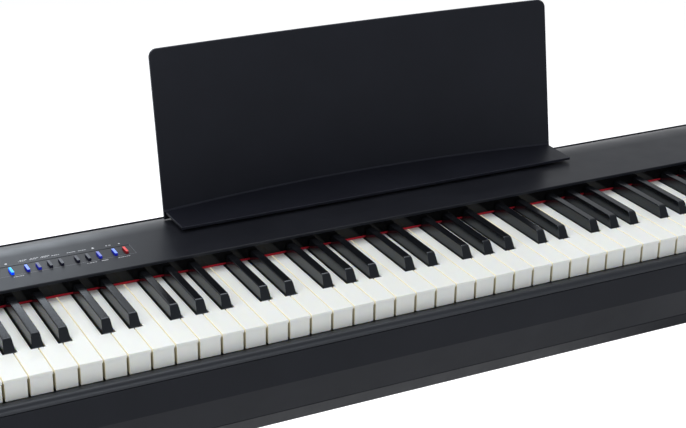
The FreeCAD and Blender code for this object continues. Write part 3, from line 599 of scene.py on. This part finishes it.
def black_shift(letter):
    """How far a sharp's middle lies from the joint right of its white key, read from the middle octave."""
    number = FIRST_SINGLE + "cdefgab".index(letter) + 1
    return middle_of(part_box(f"black_key_{letter}_sharp_4"))[0] - (KEYS_LEFT + PITCH * number)


SHARPS = {letter: black_shift(letter) for letter in "cdfga"}
SHARP_HALF = (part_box("black_key_c_sharp_4")[1].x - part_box("black_key_c_sharp_4")[0].x) / 2
SHARP_CLEAR = SHARP_HALF + mm(1.25)


def white_plan(number, inset=0.0):
    """The outline of a white key seen from above, from its left front corner."""
    letter, before = WHITE_LETTERS[number % 7], WHITE_LETTERS[(number - 1) % 7]
    left = KEYS_LEFT + PITCH * number
    low, high = left + KEY_GAP / 2 + inset, left + PITCH - KEY_GAP / 2 - inset
    head, back = KEY_FRONT + HEAD_LENGTH - inset, KEY_BACK
    outline = [(low, KEY_FRONT + inset), (high, KEY_FRONT + inset)]
    if letter in SHARPS and number < WHITE_COUNT - 1:
        edge = left + PITCH + SHARPS[letter] - SHARP_CLEAR - inset
        outline += [(high, head), (edge, head), (edge, back)]
    else:
        outline.append((high, back))
    if before in SHARPS and number > 0:
        edge = left + SHARPS[before] + SHARP_CLEAR + inset
        outline += [(edge, back), (edge, head), (low, head)]
    else:
        outline.append((low, back))
    return outline


def white_key(number):
    """A white key: the moulded top with its small lip over the front face, and the skirt below it."""
    top = prism(white_plan(number), KEY_TOP - LIP_RISE, KEY_TOP, axis=2)
    skirt = prism(white_plan(number, LIP), KEY_LOW, KEY_TOP - LIP_RISE + mm(0.05), axis=2)
    return merged([top, skirt])


def sharp_section(y, crown, inset):
    """One cross-section of a sharp, from its flared right foot over the crown to its left foot."""
    foot = -1.0
    half_foot, half_crown = 5.75 - inset, 4.45
    taper = (half_foot - half_crown + inset * 0.6) / (BLACK_CROWN - foot)
    half = half_foot - taper * (crown - foot)
    radius = min(1.1, 0.45 * (crown - foot))
    waist = min(4.0, (crown - foot) * 0.4)
    side = [(half_foot, foot), (half_foot - taper * waist * 0.3 - 0.2, foot + waist * 0.3),
            (half_foot - taper * waist - 0.3, foot + waist)]
    side += arc((half - radius, crown - radius), radius, 5, 85, 5)
    side += [((half - radius) * share, crown) for share in (0.66, 0.33)]
    other = [(-x, z) for x, z in reversed(side)]
    return [(mm(x), *at(y, z)) for x, z in side + [(0, crown)] + other]


def sharp_key():
    """A sharp about x = 0: a crown that rises from its sloped, rounded nose, and a stem to the hinge."""
    front, back, slope_foot = BLACK_BODY_FRONT, 141.5, -1.0
    nose_back, nose_round, corner = 56.6, 4.0, 2.2
    slope = math.atan2(BLACK_CROWN - slope_foot, nose_back - front)
    reach = nose_round * math.tan(slope / 2)
    turn_middle = (nose_back + reach, BLACK_CROWN - nose_round)
    start = 90 + math.degrees(slope)
    nose = [(front + (nose_back - front) * share, slope_foot + (BLACK_CROWN - slope_foot) * share)
            for share in (0.02, 0.08, 0.18, 0.32, 0.48)]
    nose += arc(turn_middle, nose_round, start, 90, 8)
    stations = nose + [(nose_back + reach + 6, BLACK_CROWN), (100, BLACK_CROWN), (back - 0.6, BLACK_CROWN),
                       (back, BLACK_CROWN - 0.6)]
    sections = []
    for y, crown in stations:
        near = max(0.0, corner - (y - front))
        inset = corner - math.sqrt(max(0.0, corner * corner - near * near))
        sections.append(sharp_section(y, crown, inset * 0.8))
    stem_front, stem_back = KEY_FRONT + mm(BLACK_BODY_FRONT + 1.5), KEY_BACK
    stem = block((-SHARP_HALF, stem_front, KEY_TOP - mm(21)), (SHARP_HALF, stem_back, KEY_TOP - mm(1.02)))
    return merged([swept(sections), stem])


def key_owner(number, color):
    """The body that a key of the whole keyboard rides on, which is also the node it replaces."""
    if number < FIRST_SINGLE:
        return f"bass_{color}_keys"
    if number > LAST_SINGLE:
        return f"treble_{color}_keys"
    letter = WHITE_LETTERS[number % 7]
    return f"white_key_{letter}4" if color == "white" else f"black_key_{letter}_sharp_4"


def add_keys():
    sharp_mesh = new_mesh("sharp", sharp_key())
    sharp_mesh.materials.append(MATERIALS["black_key"])
    for number in range(WHITE_COUNT):
        letter = WHITE_LETTERS[number % 7]
        owner = key_owner(number, "white")
        mesh = new_mesh("white", white_key(number))
        mesh.materials.append(MATERIALS["white_key"])
        mesh.materials.append(MATERIALS["key_side_painted_glow"])
        joints = (KEYS_LEFT + PITCH * number, KEYS_LEFT + PITCH * (number + 1))
        # faces beside the gaps get the side material with its painted glow
        for face in mesh.polygons:
            beside = min(abs(face.center.x - joint) for joint in joints) < KEY_GAP + LIP
            face.material_index = int(beside and abs(face.normal.x) > 0.9)
        new_piece(f"white_{number:02d}", mesh, "white_key", owner, nodes=[owner], bevel=0.55, segments=3)
        if letter in SHARPS and number < WHITE_COUNT - 1:
            owner = key_owner(number, "black")
            mesh = sharp_mesh.copy()
            mesh.transform(Matrix.Translation((KEYS_LEFT + PITCH * (number + 1) + SHARPS[letter], 0, 0)))
            new_piece(f"sharp_{number:02d}", mesh, "black_key", owner, nodes=[owner])


# -------- case

SHELL = 3.0
CASE_FRONT, CASE_REAR, CASE_FLOOR = -14.0, 270.0, -125.0
COVER_TOP, COVER_FRONT, COVER_BEND = 20.0, 140.0, 215.0
COVER_ROUND = 130.0
BROW_ANGLE = 24.06
BEAD_ANGLE = 23.26
LIP_TOP, LIP_FOOT = 6.5, -2.5
MOUTH_RADIUS = 48.0
FLANGE = mm(1.0)
PLAY = mm(0.3)


def across(outline, material, name, **options):
    """A piece of one cross-section between the two cheeks."""
    new_piece(name, prism(profile(outline), -INNER_RIGHT, INNER_RIGHT), material, **options)


def add_front():
    """The rounded slip before the keys, and the panel below it with its inward-sloping band."""
    slip = arc((CASE_FRONT + 6.5, -27), 6.5, 180, 90, 14) + arc((-3.7, -21.7), 1.2, 90, 0, 4)
    slip += [(-2.5, -33), (-11, -33), (-11, -27.5), (CASE_FRONT + 0.4, -27.5), (CASE_FRONT, -27.1)]
    across(slip, "slip_plastic", "slip", slot="case_plastic", nodes=["key_slip"], bevel=0.15)
    panel = [(CASE_FRONT + 0.5, -28), (CASE_FRONT, -28.5), (CASE_FRONT, -61), (4, -102), (7, -102),
             (-11, -60.5), (-11, -28)]
    across(panel, "case_plastic", "panel", nodes=["front_panel"], bevel=0.3)


def add_bottom():
    """The lower shell with its two speaker mouths."""
    outline = [(4, -102.5), (20, CASE_FLOOR), (267, CASE_FLOOR), (267, -113), (264, -113), (264, -122),
               (21.5, -122), (7, -102.5)]
    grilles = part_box("speaker_grilles")
    depth = middle_of(grilles)[1]
    mouths = [prism(circle((side * (grilles[1].x - mm(47.8)), depth), mm(MOUTH_RADIUS), 64),
                    KEY_TOP - mm(130), KEY_TOP - mm(118), axis=2) for side in (-1, 1)]
    shell = carved(prism(profile(outline), -INNER_RIGHT, INNER_RIGHT), mouths)
    new_piece("lower_shell", shell, "case_plastic", nodes=["bottom_case"], bevel=0.4)


def add_cheek(name, side):
    """An end block with softly rounded outer edges, cut out for the headphone sockets on the left."""
    brow = arc((COVER_BEND, COVER_TOP - COVER_ROUND), COVER_ROUND, 90 - BROW_ANGLE, 90, 16)
    nose = arc((0, -5), 14, 90, 180, 10)
    outline = [(CASE_REAR, CASE_FLOOR), (CASE_REAR, LIP_TOP)] + brow + [(128, COVER_TOP)]
    outline += nose + [(CASE_FRONT, -61), (4, -102), (20, CASE_FLOOR)]
    bm = prism(profile(outline), side * INNER_RIGHT, side * CASE_RIGHT)
    if name == "left":
        low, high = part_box("headphone_sockets")
        bm = carved(bm, [block((low.x, low.y - mm(2), low.z), (high.x, high.y, high.z))])
    rim = [edge for edge in bm.edges if all(abs(abs(v.co.x) - CASE_RIGHT) < 1e-6 for v in edge.verts)]
    bmesh.ops.bevel(bm, geom=rim, offset=mm(3.5), segments=5, affect="EDGES", profile=0.5,
                    clamp_overlap=True)
    new_piece(f"{name}_end", bm, "case_plastic", nodes=[f"{name}_cheek"], bevel=0.35)


def button_boxes():
    names = ["power", "function", "piano", "electric_piano", "organ", "strings", "song", "metronome",
             "tempo", "play", "record"]
    return {name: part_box(f"{name}_button") for name in names}


def button_slots():
    """Cutters for the buttons' slots and the slider's slot, through strip and cover."""
    span = (KEY_TOP + mm(10), KEY_TOP + mm(24))
    cutters = [prism(inset_rectangle(box, FLANGE - PLAY, mm(1.0)), *span, axis=2)
               for box in button_boxes().values()]
    x, y, _ = middle_of(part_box("volume_slider"))
    outline = rounded_rectangle((x - mm(19), y - mm(1.3)), (x + mm(19), y + mm(1.3)), mm(1.2))
    return cutters + [prism(outline, *span, axis=2)]


def add_cover():
    """The cover: flat behind the keys, one fall to the bead along its rear lip, its recess and sockets."""
    middle = (COVER_BEND, COVER_TOP - COVER_ROUND)
    outer = arc(middle, COVER_ROUND, 90, 90 - BEAD_ANGLE, 24)
    inner = arc(middle, COVER_ROUND - SHELL, 90 - BROW_ANGLE + 1.4, 90, 24)
    outline = arc((COVER_FRONT + 1, COVER_TOP - 1), 1, 180, 90, 4) + outer
    # the bead along the rear lip
    outline += [(CASE_REAR - 3.5, 10.6), (CASE_REAR - 3.0, 11.0), (CASE_REAR - 1.6, 10.4),
                (CASE_REAR - 0.4, 8.6), (CASE_REAR, LIP_TOP), (CASE_REAR, LIP_FOOT),
                (CASE_REAR - SHELL, LIP_FOOT), (CASE_REAR - SHELL, 5.2)]
    outline += inner + [(COVER_FRONT, COVER_TOP - SHELL)]
    low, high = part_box("control_strip")
    recess = block(low, (high.x, high.y, high.z + mm(4)))
    sockets = [prism(circle((REST_MIDDLE + mm(PEG_REACH * side), KEY_FRONT + mm(PEG_Y)), mm(4.4)),
                     KEY_TOP, KEY_TOP + mm(30), axis=2) for side in (-1, 1)]
    cover = carved(prism(profile(outline), -INNER_RIGHT, INNER_RIGHT), [recess])
    cover = carved(cover, button_slots() + sockets)
    new_piece("cover", cover, "cover_plastic", nodes=["top_cover"], bevel=0.12)


def add_wall():
    """The polished wall under the cover's front edge, and the felt at its foot."""
    low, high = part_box("fallboard_strip")
    new_piece("wall", block(low, high), "gloss_black", nodes=["fallboard_strip"], bevel=0.3)
    low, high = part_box("key_felt")
    steps = 600
    rng = random.Random(7)
    sections = []
    for step in range(steps + 1):
        x = low.x + (high.x - low.x) * step / steps
        fuzz = mm(rng.uniform(-0.15, 0.1))
        section = [(low.y + mm(0.25), low.z), (low.y + mm(0.02) - fuzz, low.z + mm(0.7)),
                   (low.y + mm(0.02) - fuzz, high.z - mm(0.7)), (low.y + mm(0.3), high.z), (high.y, high.z),
                   (high.y, low.z)]
        sections.append([(x, max(y, low.y), z) for y, z in section])
    new_piece("felt", swept(sections), "red_felt", nodes=["key_felt"])


# -------- controls

# the materials of a button's top and sides
PLAIN_BUTTON = ("button_plain", "plain_side")
LIT_BUTTONS = {
    "power": ("button_red", "red_side"), "function": ("button_bright_blue", "bright_blue_side"),
    "piano": ("button_blue", "blue_side"), "electric_piano": ("button_dim_blue", "blue_side"),
    "tempo": ("button_pale_blue", "blue_side"), "play": ("button_blue", "blue_side"),
    "record": ("button_red", "red_side"),
}


def add_buttons():
    """Each button: its narrow lens with rounded edges, and the flange that keeps it in the cover."""
    for name, box in button_boxes().items():
        body = f"{name}_button"
        cap = prism(inset_rectangle(box, FLANGE, mm(0.45)), box[0].z, box[1].z, axis=2)
        flange = prism(inset_rectangle(box, 0, mm(1.6)), KEY_TOP + mm(15.5), KEY_TOP + mm(16.7), axis=2)
        mesh = new_mesh("cap", cap)
        for material in LIT_BUTTONS.get(name, PLAIN_BUTTON):
            mesh.materials.append(MATERIALS[material])
        for face in mesh.polygons:
            face.material_index = int(face.normal.z < 0.5)
        new_piece(f"{name}_cap", mesh, NODE_SLOTS[body], body, nodes=[body], bevel=0.22)
        new_piece(f"{name}_flange", flange, "button_plain", body, bevel=0.2)


def add_slider():
    """The volume slider: a grooved cap over its stem."""
    low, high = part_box("volume_slider")
    x, y, _ = middle_of((low, high))
    cap_low, corner, groove = KEY_TOP + mm(20.3), mm(0.8), mm(0.7)
    crest = [(low.x, cap_low), (low.x, high.z - corner), (low.x + corner, high.z), (x - groove, high.z),
             (x, high.z - groove), (x + groove, high.z), (high.x - corner, high.z),
             (high.x, high.z - corner), (high.x, cap_low)]
    cap = prism(crest, low.y, high.y, axis=1)
    new_piece("slider_cap", cap, "button_plain", "volume_slider", nodes=["volume_slider"], bevel=0.25)
    stem = block((x - mm(1), y - mm(1), low.z), (x + mm(1), y + mm(1), cap_low))
    new_piece("slider_stem", stem, "button_plain", "volume_slider", bevel=0.15)


def flat_mark(outline, top):
    """A printed mark: a thin closed film on a surface."""
    return prism(outline, top - mm(0.02), top + mm(0.03), axis=2)


def word_marks(middle, y, top, lengths):
    """A printed word drawn as a row of short dashes, lengths in millimetres, centred on a middle."""
    gap = 0.5
    spot = middle - mm(sum(lengths) + gap * (len(lengths) - 1)) / 2
    marks = []
    for length in lengths:
        outline = rounded_rectangle((spot, y - mm(0.4)), (spot + mm(length), y + mm(0.4)), mm(0.2))
        marks.append(flat_mark(outline, top))
        spot += mm(length + gap)
    return marks


def add_strip():
    """The control strip, a painted highlight line along its front edge and right end, and the signs and
    dashes printed on the cover behind and before it.
    """
    low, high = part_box("control_strip")
    strip = carved(block(low, (high.x, high.y, high.z + mm(0.35))), button_slots())
    new_piece("strip", strip, "strip_plastic", nodes=["control_strip"], bevel=0.15)
    top = KEY_TOP + mm(COVER_TOP)
    edge = mm(0.45)
    # painted highlight: a thin grey line along the strip's front edge and right end
    rim = [(low.x - edge, low.y - edge), (high.x + edge, low.y - edge), (high.x + edge, high.y),
           (high.x + edge / 3, high.y), (high.x + edge / 3, low.y - edge / 3),
           (low.x - edge, low.y - edge / 3)]
    new_piece("strip_painted_highlight", flat_mark(rim, top), "painted_highlight_grey", slot="button_plain")
    behind, before = high.y + mm(6.5), low.y - mm(4)
    middles = {name: middle_of(box)[0] for name, box in button_boxes().items()}
    slider = middle_of(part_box("volume_slider"))[0]
    rng = random.Random(3)
    words = [(middles[name], behind, [rng.uniform(1.0, 2.2) for _ in range(4)])
             for name in ("piano", "electric_piano", "organ", "strings", "song", "metronome")]
    words += [(middles[name] + mm(2), behind + mm(2.2), [rng.uniform(1.5, 3.0) for _ in range(3)])
              for name in ("piano", "electric_piano", "organ")]
    words += [(middles["function"] + mm(4), before, (1.6, 2.2, 1.2, 2.0, 1.6)),
              (middles["metronome"], before, (1.0, 0.6, 2.4, 1.8, 0.6, 1.2)),
              (middles["tempo"] + mm(2), before, (7.0,)),
              ((middles["play"] + middles["record"]) / 2, before, (2.0, 1.4, 2.2, 1.0, 2.0, 1.6)),
              (middles["power"], before, (1.4, 2.0, 1.2)), (slider, behind, (2.0, 1.2, 1.6, 1.4))]
    marks = [mark for x, y, lengths in words for mark in word_marks(x, y, top, lengths)]
    # signs, in millimetres about a point: a metronome, play, the two bars of pause, the slider's wedge
    signs = [(middles["tempo"], behind, [(-1.4, -1), (1.4, -1), (0.5, 2), (-0.5, 2)]),
             (middles["play"], behind, [(-2.6, -0.9), (-0.8, 0), (-2.6, 0.9)])]
    signs += [(middles["play"], behind, rounded_rectangle((x, -0.9), (x + 0.6, 0.9), 0.2))
              for x in (0.6, 1.7)]
    signs.append((slider, before, [(-9, -0.1), (9, -0.8), (9, 0.8)]))
    marks += [flat_mark([(x + mm(right), y + mm(back)) for right, back in outline], top)
              for x, y, outline in signs]
    marks += [flat_mark(circle((middles[name], behind), mm(radius), 20), top)
              for name, radius in (("record", 0.9), ("function", 1.3), ("power", 1.3))]
    new_piece("cover_marks", merged(marks), "print", slot="button_plain")


# -------- music rest

REST_HALF, REST_CORNER, SHEET = 250.0, 9.0, 2.5
REST_FOOT, REST_TOP = 17.0, 200.0
LOW_END, LOW_BOW, HIGH_END, HIGH_BOW = 245.0, 1530.0, 276.0, 4810.0
LEDGE_HALF, LEDGE_FRONT, LEDGE_TOP, LEDGE_THICK, LEDGE_CORNER = 248.0, 197.5, 26.0, 3.0, 2.0
FILLET = 1.3
PEG_REACH, PEG_Y = 150.0, 236.0
REST_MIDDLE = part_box("music_rest")[0].x + mm(REST_HALF)


def sheet_y(x, z):
    """How far back the sheet's face stands: an arc at its foot that flattens towards its top."""
    def bow(end, radius):
        return end + math.sqrt(radius ** 2 - x ** 2) - math.sqrt(radius ** 2 - REST_HALF ** 2)

    share = (z - REST_FOOT) / (REST_TOP - REST_FOOT)
    return bow(LOW_END, LOW_BOW) * (1 - share) + bow(HIGH_END, HIGH_BOW) * share


def rest_point(x, y, z):
    return Vector((REST_MIDDLE + mm(x), *at(y, z)))


def rest_sheet():
    """The bowed sheet with its round upper corners."""
    heights = [REST_FOOT + (REST_TOP - REST_CORNER - REST_FOOT) * step / 16 for step in range(17)]
    heights += [z for _, z in arc((0, REST_TOP - REST_CORNER), REST_CORNER, 0, 90, 10)[1:]]
    sections, columns = [], 80
    for z in heights:
        over = max(0.0, z - (REST_TOP - REST_CORNER))
        reach = REST_HALF - REST_CORNER + math.sqrt(max(0.0, REST_CORNER ** 2 - over ** 2))
        places = [reach * (2 * column / columns - 1) for column in range(columns + 1)]
        section = [rest_point(x, sheet_y(x, z), z) for x in places]
        section += [rest_point(x, sheet_y(x, z) + SHEET, z) for x in reversed(places)]
        sections.append(section)
    return swept(sections)


def rest_ledge():
    """The flat ledge in front of the sheet: square ends with crisp corners, and a bowed back edge."""
    low, high = LEDGE_TOP - LEDGE_THICK, LEDGE_TOP
    corner_y = LEDGE_FRONT + LEDGE_CORNER
    outline = arc((LEDGE_CORNER - LEDGE_HALF, corner_y), LEDGE_CORNER, 180, 270, 5)
    outline += arc((LEDGE_HALF - LEDGE_CORNER, corner_y), LEDGE_CORNER, 270, 360, 5)
    backs = [LEDGE_HALF * (1 - 2 * step / 60) for step in range(61)]
    outline += [(x, sheet_y(x, low) + SHEET / 2) for x in backs]
    points = [(rest_point(x, y, 0).x, rest_point(x, y, 0).y) for x, y in outline]
    return prism(points, at(0, low)[1], at(0, high)[1], axis=2)


def rest_fillet():
    """The small hollow fillet along the seam of sheet and ledge."""
    sections, columns = [], 80
    for column in range(columns + 1):
        x = (REST_HALF - 0.6) * (2 * column / columns - 1)
        seam = sheet_y(x, LEDGE_TOP)
        middle = (seam - FILLET, LEDGE_TOP + FILLET)
        curve = arc(middle, FILLET, 270, 360, 4)
        section = [rest_point(x, y, z) for y, z in curve]
        section += [rest_point(x, seam + SHEET / 3, LEDGE_TOP + FILLET),
                    rest_point(x, seam + SHEET / 3, LEDGE_TOP - LEDGE_THICK / 3),
                    rest_point(x, seam - FILLET, LEDGE_TOP - LEDGE_THICK / 3)]
        sections.append(section)
    return swept(sections)


def add_rest():
    """The rest: its sheet, its ledge with the fillet between them, and its two pegs."""
    new_piece("rest_sheet", rest_sheet(), "rest_plastic", "music_rest", nodes=["music_rest"], bevel=0.5)
    new_piece("rest_ledge", rest_ledge(), "rest_plastic", "music_rest", bevel=0.45)
    new_piece("rest_fillet", rest_fillet(), "rest_plastic", "music_rest")
    foot, shoulder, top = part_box("music_rest")[0].z, KEY_TOP + mm(19.5), KEY_TOP + mm(23.5)
    for name, side in (("left", -1), ("right", 1)):
        middle = (REST_MIDDLE + mm(PEG_REACH * side), KEY_FRONT + mm(PEG_Y))
        peg = lathe([(0, foot), (mm(3), foot), (mm(4), foot + mm(1.2)), (mm(4), shoulder),
                     (mm(6), shoulder), (mm(6), top), (0, top)], middle)
        new_piece(f"rest_peg_{name}", peg, "rest_plastic", "music_rest", bevel=0.2)


# -------- rear and underside


def socket_ring(name, middle, radius, width, front, back, bevel):
    """A steel ring around a socket's hole, between two depths."""
    hole = prism(circle(middle, mm(radius), 40), front - mm(1), back + mm(1), axis=1)
    ring = carved(prism(circle(middle, mm(radius + width), 48), front, back, axis=1), [hole])
    new_piece(name, ring, "bright_steel", bevel=bevel)


def add_rear():
    """The rear wall, and its two sockets with their raised rings."""
    low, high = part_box("rear_panel")
    openings = []
    for name, radius in (("dc_inlet", 2.8), ("pedal_socket", 3.2)):
        near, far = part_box(name)
        openings.append(block((near.x, low.y - mm(1), near.z), (far.x, high.y + mm(1), far.z)))
        x, _, z = middle_of((near, far))
        hole = prism(circle((x, z), mm(radius), 40), high.y - mm(12), high.y + mm(1), axis=1)
        outline = rounded_rectangle((near.x, near.z), (far.x, far.z), mm(1.5))
        housing = carved(prism(outline, near.y, high.y - mm(0.4), axis=1), [hole])
        new_piece(name, housing, "socket_plastic", nodes=[name], bevel=0.4)
        socket_ring(f"{name}_ring", (x, z), radius, 1.6, high.y - mm(0.6), high.y, 0.15)
    panel = carved(block(low, high), openings)
    new_piece("rear_wall", panel, "case_plastic", nodes=["rear_panel"], bevel=0.25)


def add_headphone_sockets():
    """The block in the left cheek with the large and the small headphone socket."""
    low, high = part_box("headphone_sockets")
    level = middle_of((low, high))[2]
    places = ((low.x + mm(7), 3.2), (low.x + mm(18.5), 1.8))
    holes = [prism(circle((x, level), mm(radius), 40), low.y - mm(1), low.y + mm(14), axis=1)
             for x, radius in places]
    outline = rounded_rectangle((low.x, low.z), (high.x, high.z), mm(1.5))
    housing = carved(prism(outline, low.y + mm(0.3), high.y, axis=1), holes)
    new_piece("phones_block", housing, "socket_plastic", nodes=["headphone_sockets"], bevel=0.3)
    for number, (x, radius) in enumerate(places):
        socket_ring(f"phones_ring_{number}", (x, level), radius, 1.2, low.y, low.y + mm(0.5), 0.12)


def screw(middle, radius, thickness, direction, depth_share=0.6):
    """A round head with a domed rim and a hexagon socket; it stands along a direction from middle."""
    x, y, z = middle
    head = lathe([(0, z), (radius, z), (radius, z + thickness * 0.55), (radius * 0.93, z + thickness * 0.85),
                  (radius * 0.78, z + thickness), (0, z + thickness)], (x, y), 32)
    socket = prism(circle((x, y), radius * 0.42, 6), z + thickness * (1 - depth_share), z + thickness * 2,
                   axis=2)
    return turned(carved(head, [socket]), direction, middle)


def add_round_feet(name, node, radius, rim):
    """Four rubber feet at a node's corners, with a rim of (share of the radius, height) points."""
    low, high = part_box(node)
    outline = [(0, low.z)] + [(radius * share, low.z + mm(rise)) for share, rise in rim]
    outline += [(radius, high.z), (0, high.z)]
    feet = [lathe(outline, (x, y)) for x in (low.x + radius, high.x - radius)
            for y in (low.y + radius, high.y - radius)]
    new_piece(name, merged(feet), "foot_rubber", nodes=[node])


def add_underside():
    """Screws and rubber feet under the case."""
    low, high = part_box("case_screws")
    columns, radius, screws = 6, mm(3.5), []
    for column in range(columns):
        x = low.x + radius + (high.x - low.x - 2 * radius) * column / (columns - 1)
        screws += [screw((x, y, KEY_TOP + mm(CASE_FLOOR)), radius, mm(2), (0, 0, -1))
                   for y in (low.y + radius, high.y - radius)]
    new_piece("case_screw_heads", merged(screws), "dark_steel", nodes=["case_screws"])
    add_round_feet("case_feet", "rubber_feet", mm(12), ((0.8, 0), (0.93, 0.8), (1, 2.4)))


# -------- stand

BAR_WIDTH = mm(50)


def bars(node):
    """The names and the left edges of the left and the right bar of a node."""
    low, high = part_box(node)
    return (("left", low.x), ("right", high.x - BAR_WIDTH))


def add_side_panel(name):
    """A side board, with a front edge that bows inwards."""
    low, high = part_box(f"{name}_side_panel")
    sag, chord = mm(35.6), high.z - low.z
    radius = (chord * chord / 4 + sag * sag) / (2 * sag)
    reach = math.degrees(math.asin(chord / 2 / radius))
    middle = (low.y + sag - radius, middle_of((low, high))[2])
    outline = arc(middle, radius, -reach, reach, 32) + [(high.y, high.z), (high.y, low.z)]
    new_piece(f"{name}_board", prism(outline, low.x, high.x), "stand_board", nodes=[f"{name}_side_panel"],
              bevel=1.2, segments=3)


def add_rear_boards():
    for name in ("upper", "lower"):
        low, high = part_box(f"{name}_rear_board")
        new_piece(f"{name}_board", block(low, high), "stand_board_across", slot="stand_board",
                  nodes=[f"{name}_rear_board"], bevel=1.0, segments=3)


def add_feet():
    """The foot bars with their sloped, rounded ends, and the pads under them."""
    low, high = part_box("foot_bars")
    shoulder, slope = low.z + mm(13), mm(26)
    outline = [(low.y, low.z), (high.y, low.z), (high.y, shoulder), (high.y - slope, high.z),
               (low.y + slope, high.z), (low.y, shoulder)]
    for name, x in bars("foot_bars"):
        new_piece(f"{name}_foot", prism(outline, x, x + BAR_WIDTH), "stand_board_deep", slot="stand_board",
                  nodes=["foot_bars"], bevel=4.0, segments=5)
    add_round_feet("floor_pads", "foot_pads", mm(14), ((0.85, 0), (0.96, 1), (1, 2.5)))


def add_plates():
    low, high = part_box("support_plates")
    for name, x in bars("support_plates"):
        outline = rounded_rectangle((x, low.y), (x + BAR_WIDTH, high.y), mm(6), 6)
        new_piece(f"{name}_plate", prism(outline, low.z, high.z, axis=2), "stand_metal",
                  nodes=["support_plates"], bevel=0.4)


def add_bolts():
    """The bolts' heads, on the side boards, on the plates and under the foot bars."""
    low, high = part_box("stand_bolts")
    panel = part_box("left_side_panel")
    middle = middle_of(panel)[0]
    depth = middle_of(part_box("upper_rear_board"))[1]
    radius, height, inset = mm(5), mm(2.5), mm(22)
    heads = []
    for side in (-1, 1):
        for name in ("upper", "lower"):
            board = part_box(f"{name}_rear_board")
            for z in (board[0].z + inset, board[1].z - inset):
                heads.append(screw((-side * panel[0].x, depth, z), radius, height, (side, 0, 0)))
        for end in (-1, 1):
            heads += [screw((-side * middle, mm(80) * end, high.z - height), radius, height, (0, 0, 1)),
                      screw((-side * middle, mm(60) * end, low.z + height), radius, height, (0, 0, -1))]
    new_piece("bolt_heads", merged(heads), "dark_steel", nodes=["stand_bolts"])


def add_thumb_screws():
    """Knobs with eight lobes, each on its steel shank."""
    low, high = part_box("thumb_screws")
    radius, lobes, steps = mm(11), 8, 64
    corners = {"left_front": (-1, -1), "left_back": (-1, 1), "right_front": (1, -1),
               "right_back": (1, 1)}
    for name, (side, end) in corners.items():
        x, y = side * (high.x - radius), end * (high.y - radius)
        outline = []
        for step in range(steps):
            turn = math.tau * step / steps
            reach = radius - mm(1.1) * (0.5 - 0.5 * math.cos(turn * lobes))
            outline.append((x + reach * math.cos(turn), y + reach * math.sin(turn)))
        knob = prism(outline, low.z, low.z + mm(12), axis=2)
        new_piece(f"thumb_{name}", knob, "knob_plastic", nodes=["thumb_screws"], bevel=1.0, segments=3)
        shank = lathe([(0, low.z + mm(12)), (mm(2.5), low.z + mm(12)), (mm(2.5), high.z - mm(1)),
                       (mm(1.8), high.z), (0, high.z)], (x, y), 24)
        new_piece(f"thumb_shank_{name}", shank, "bright_steel", bevel=0.1)


# -------- pieces carried over from CAD


def dress_inner_parts():
    """Materials and softened edges for the parts that keep their CAD shape."""
    for name in ("key_frame", "hinge_rod", "contact_board", "main_board", "button_board", "speakers",
                 "speaker_grilles"):
        item = frame["nodes"][name]
        for socket in item.material_slots:
            socket.material = MATERIALS[NODE_SLOTS[name]]
        soften(item, 0.2)


add_camera()
add_studio()
add_floor()
add_keys()
add_front()
add_bottom()
add_cheek("left", -1)
add_cheek("right", 1)
add_cover()
add_wall()
add_strip()
add_buttons()
add_slider()
add_rest()
add_rear()
add_headphone_sockets()
add_underside()
add_side_panel("left")
add_side_panel("right")
add_rear_boards()
add_feet()
add_plates()
add_bolts()
add_thumb_screws()
dress_inner_parts()
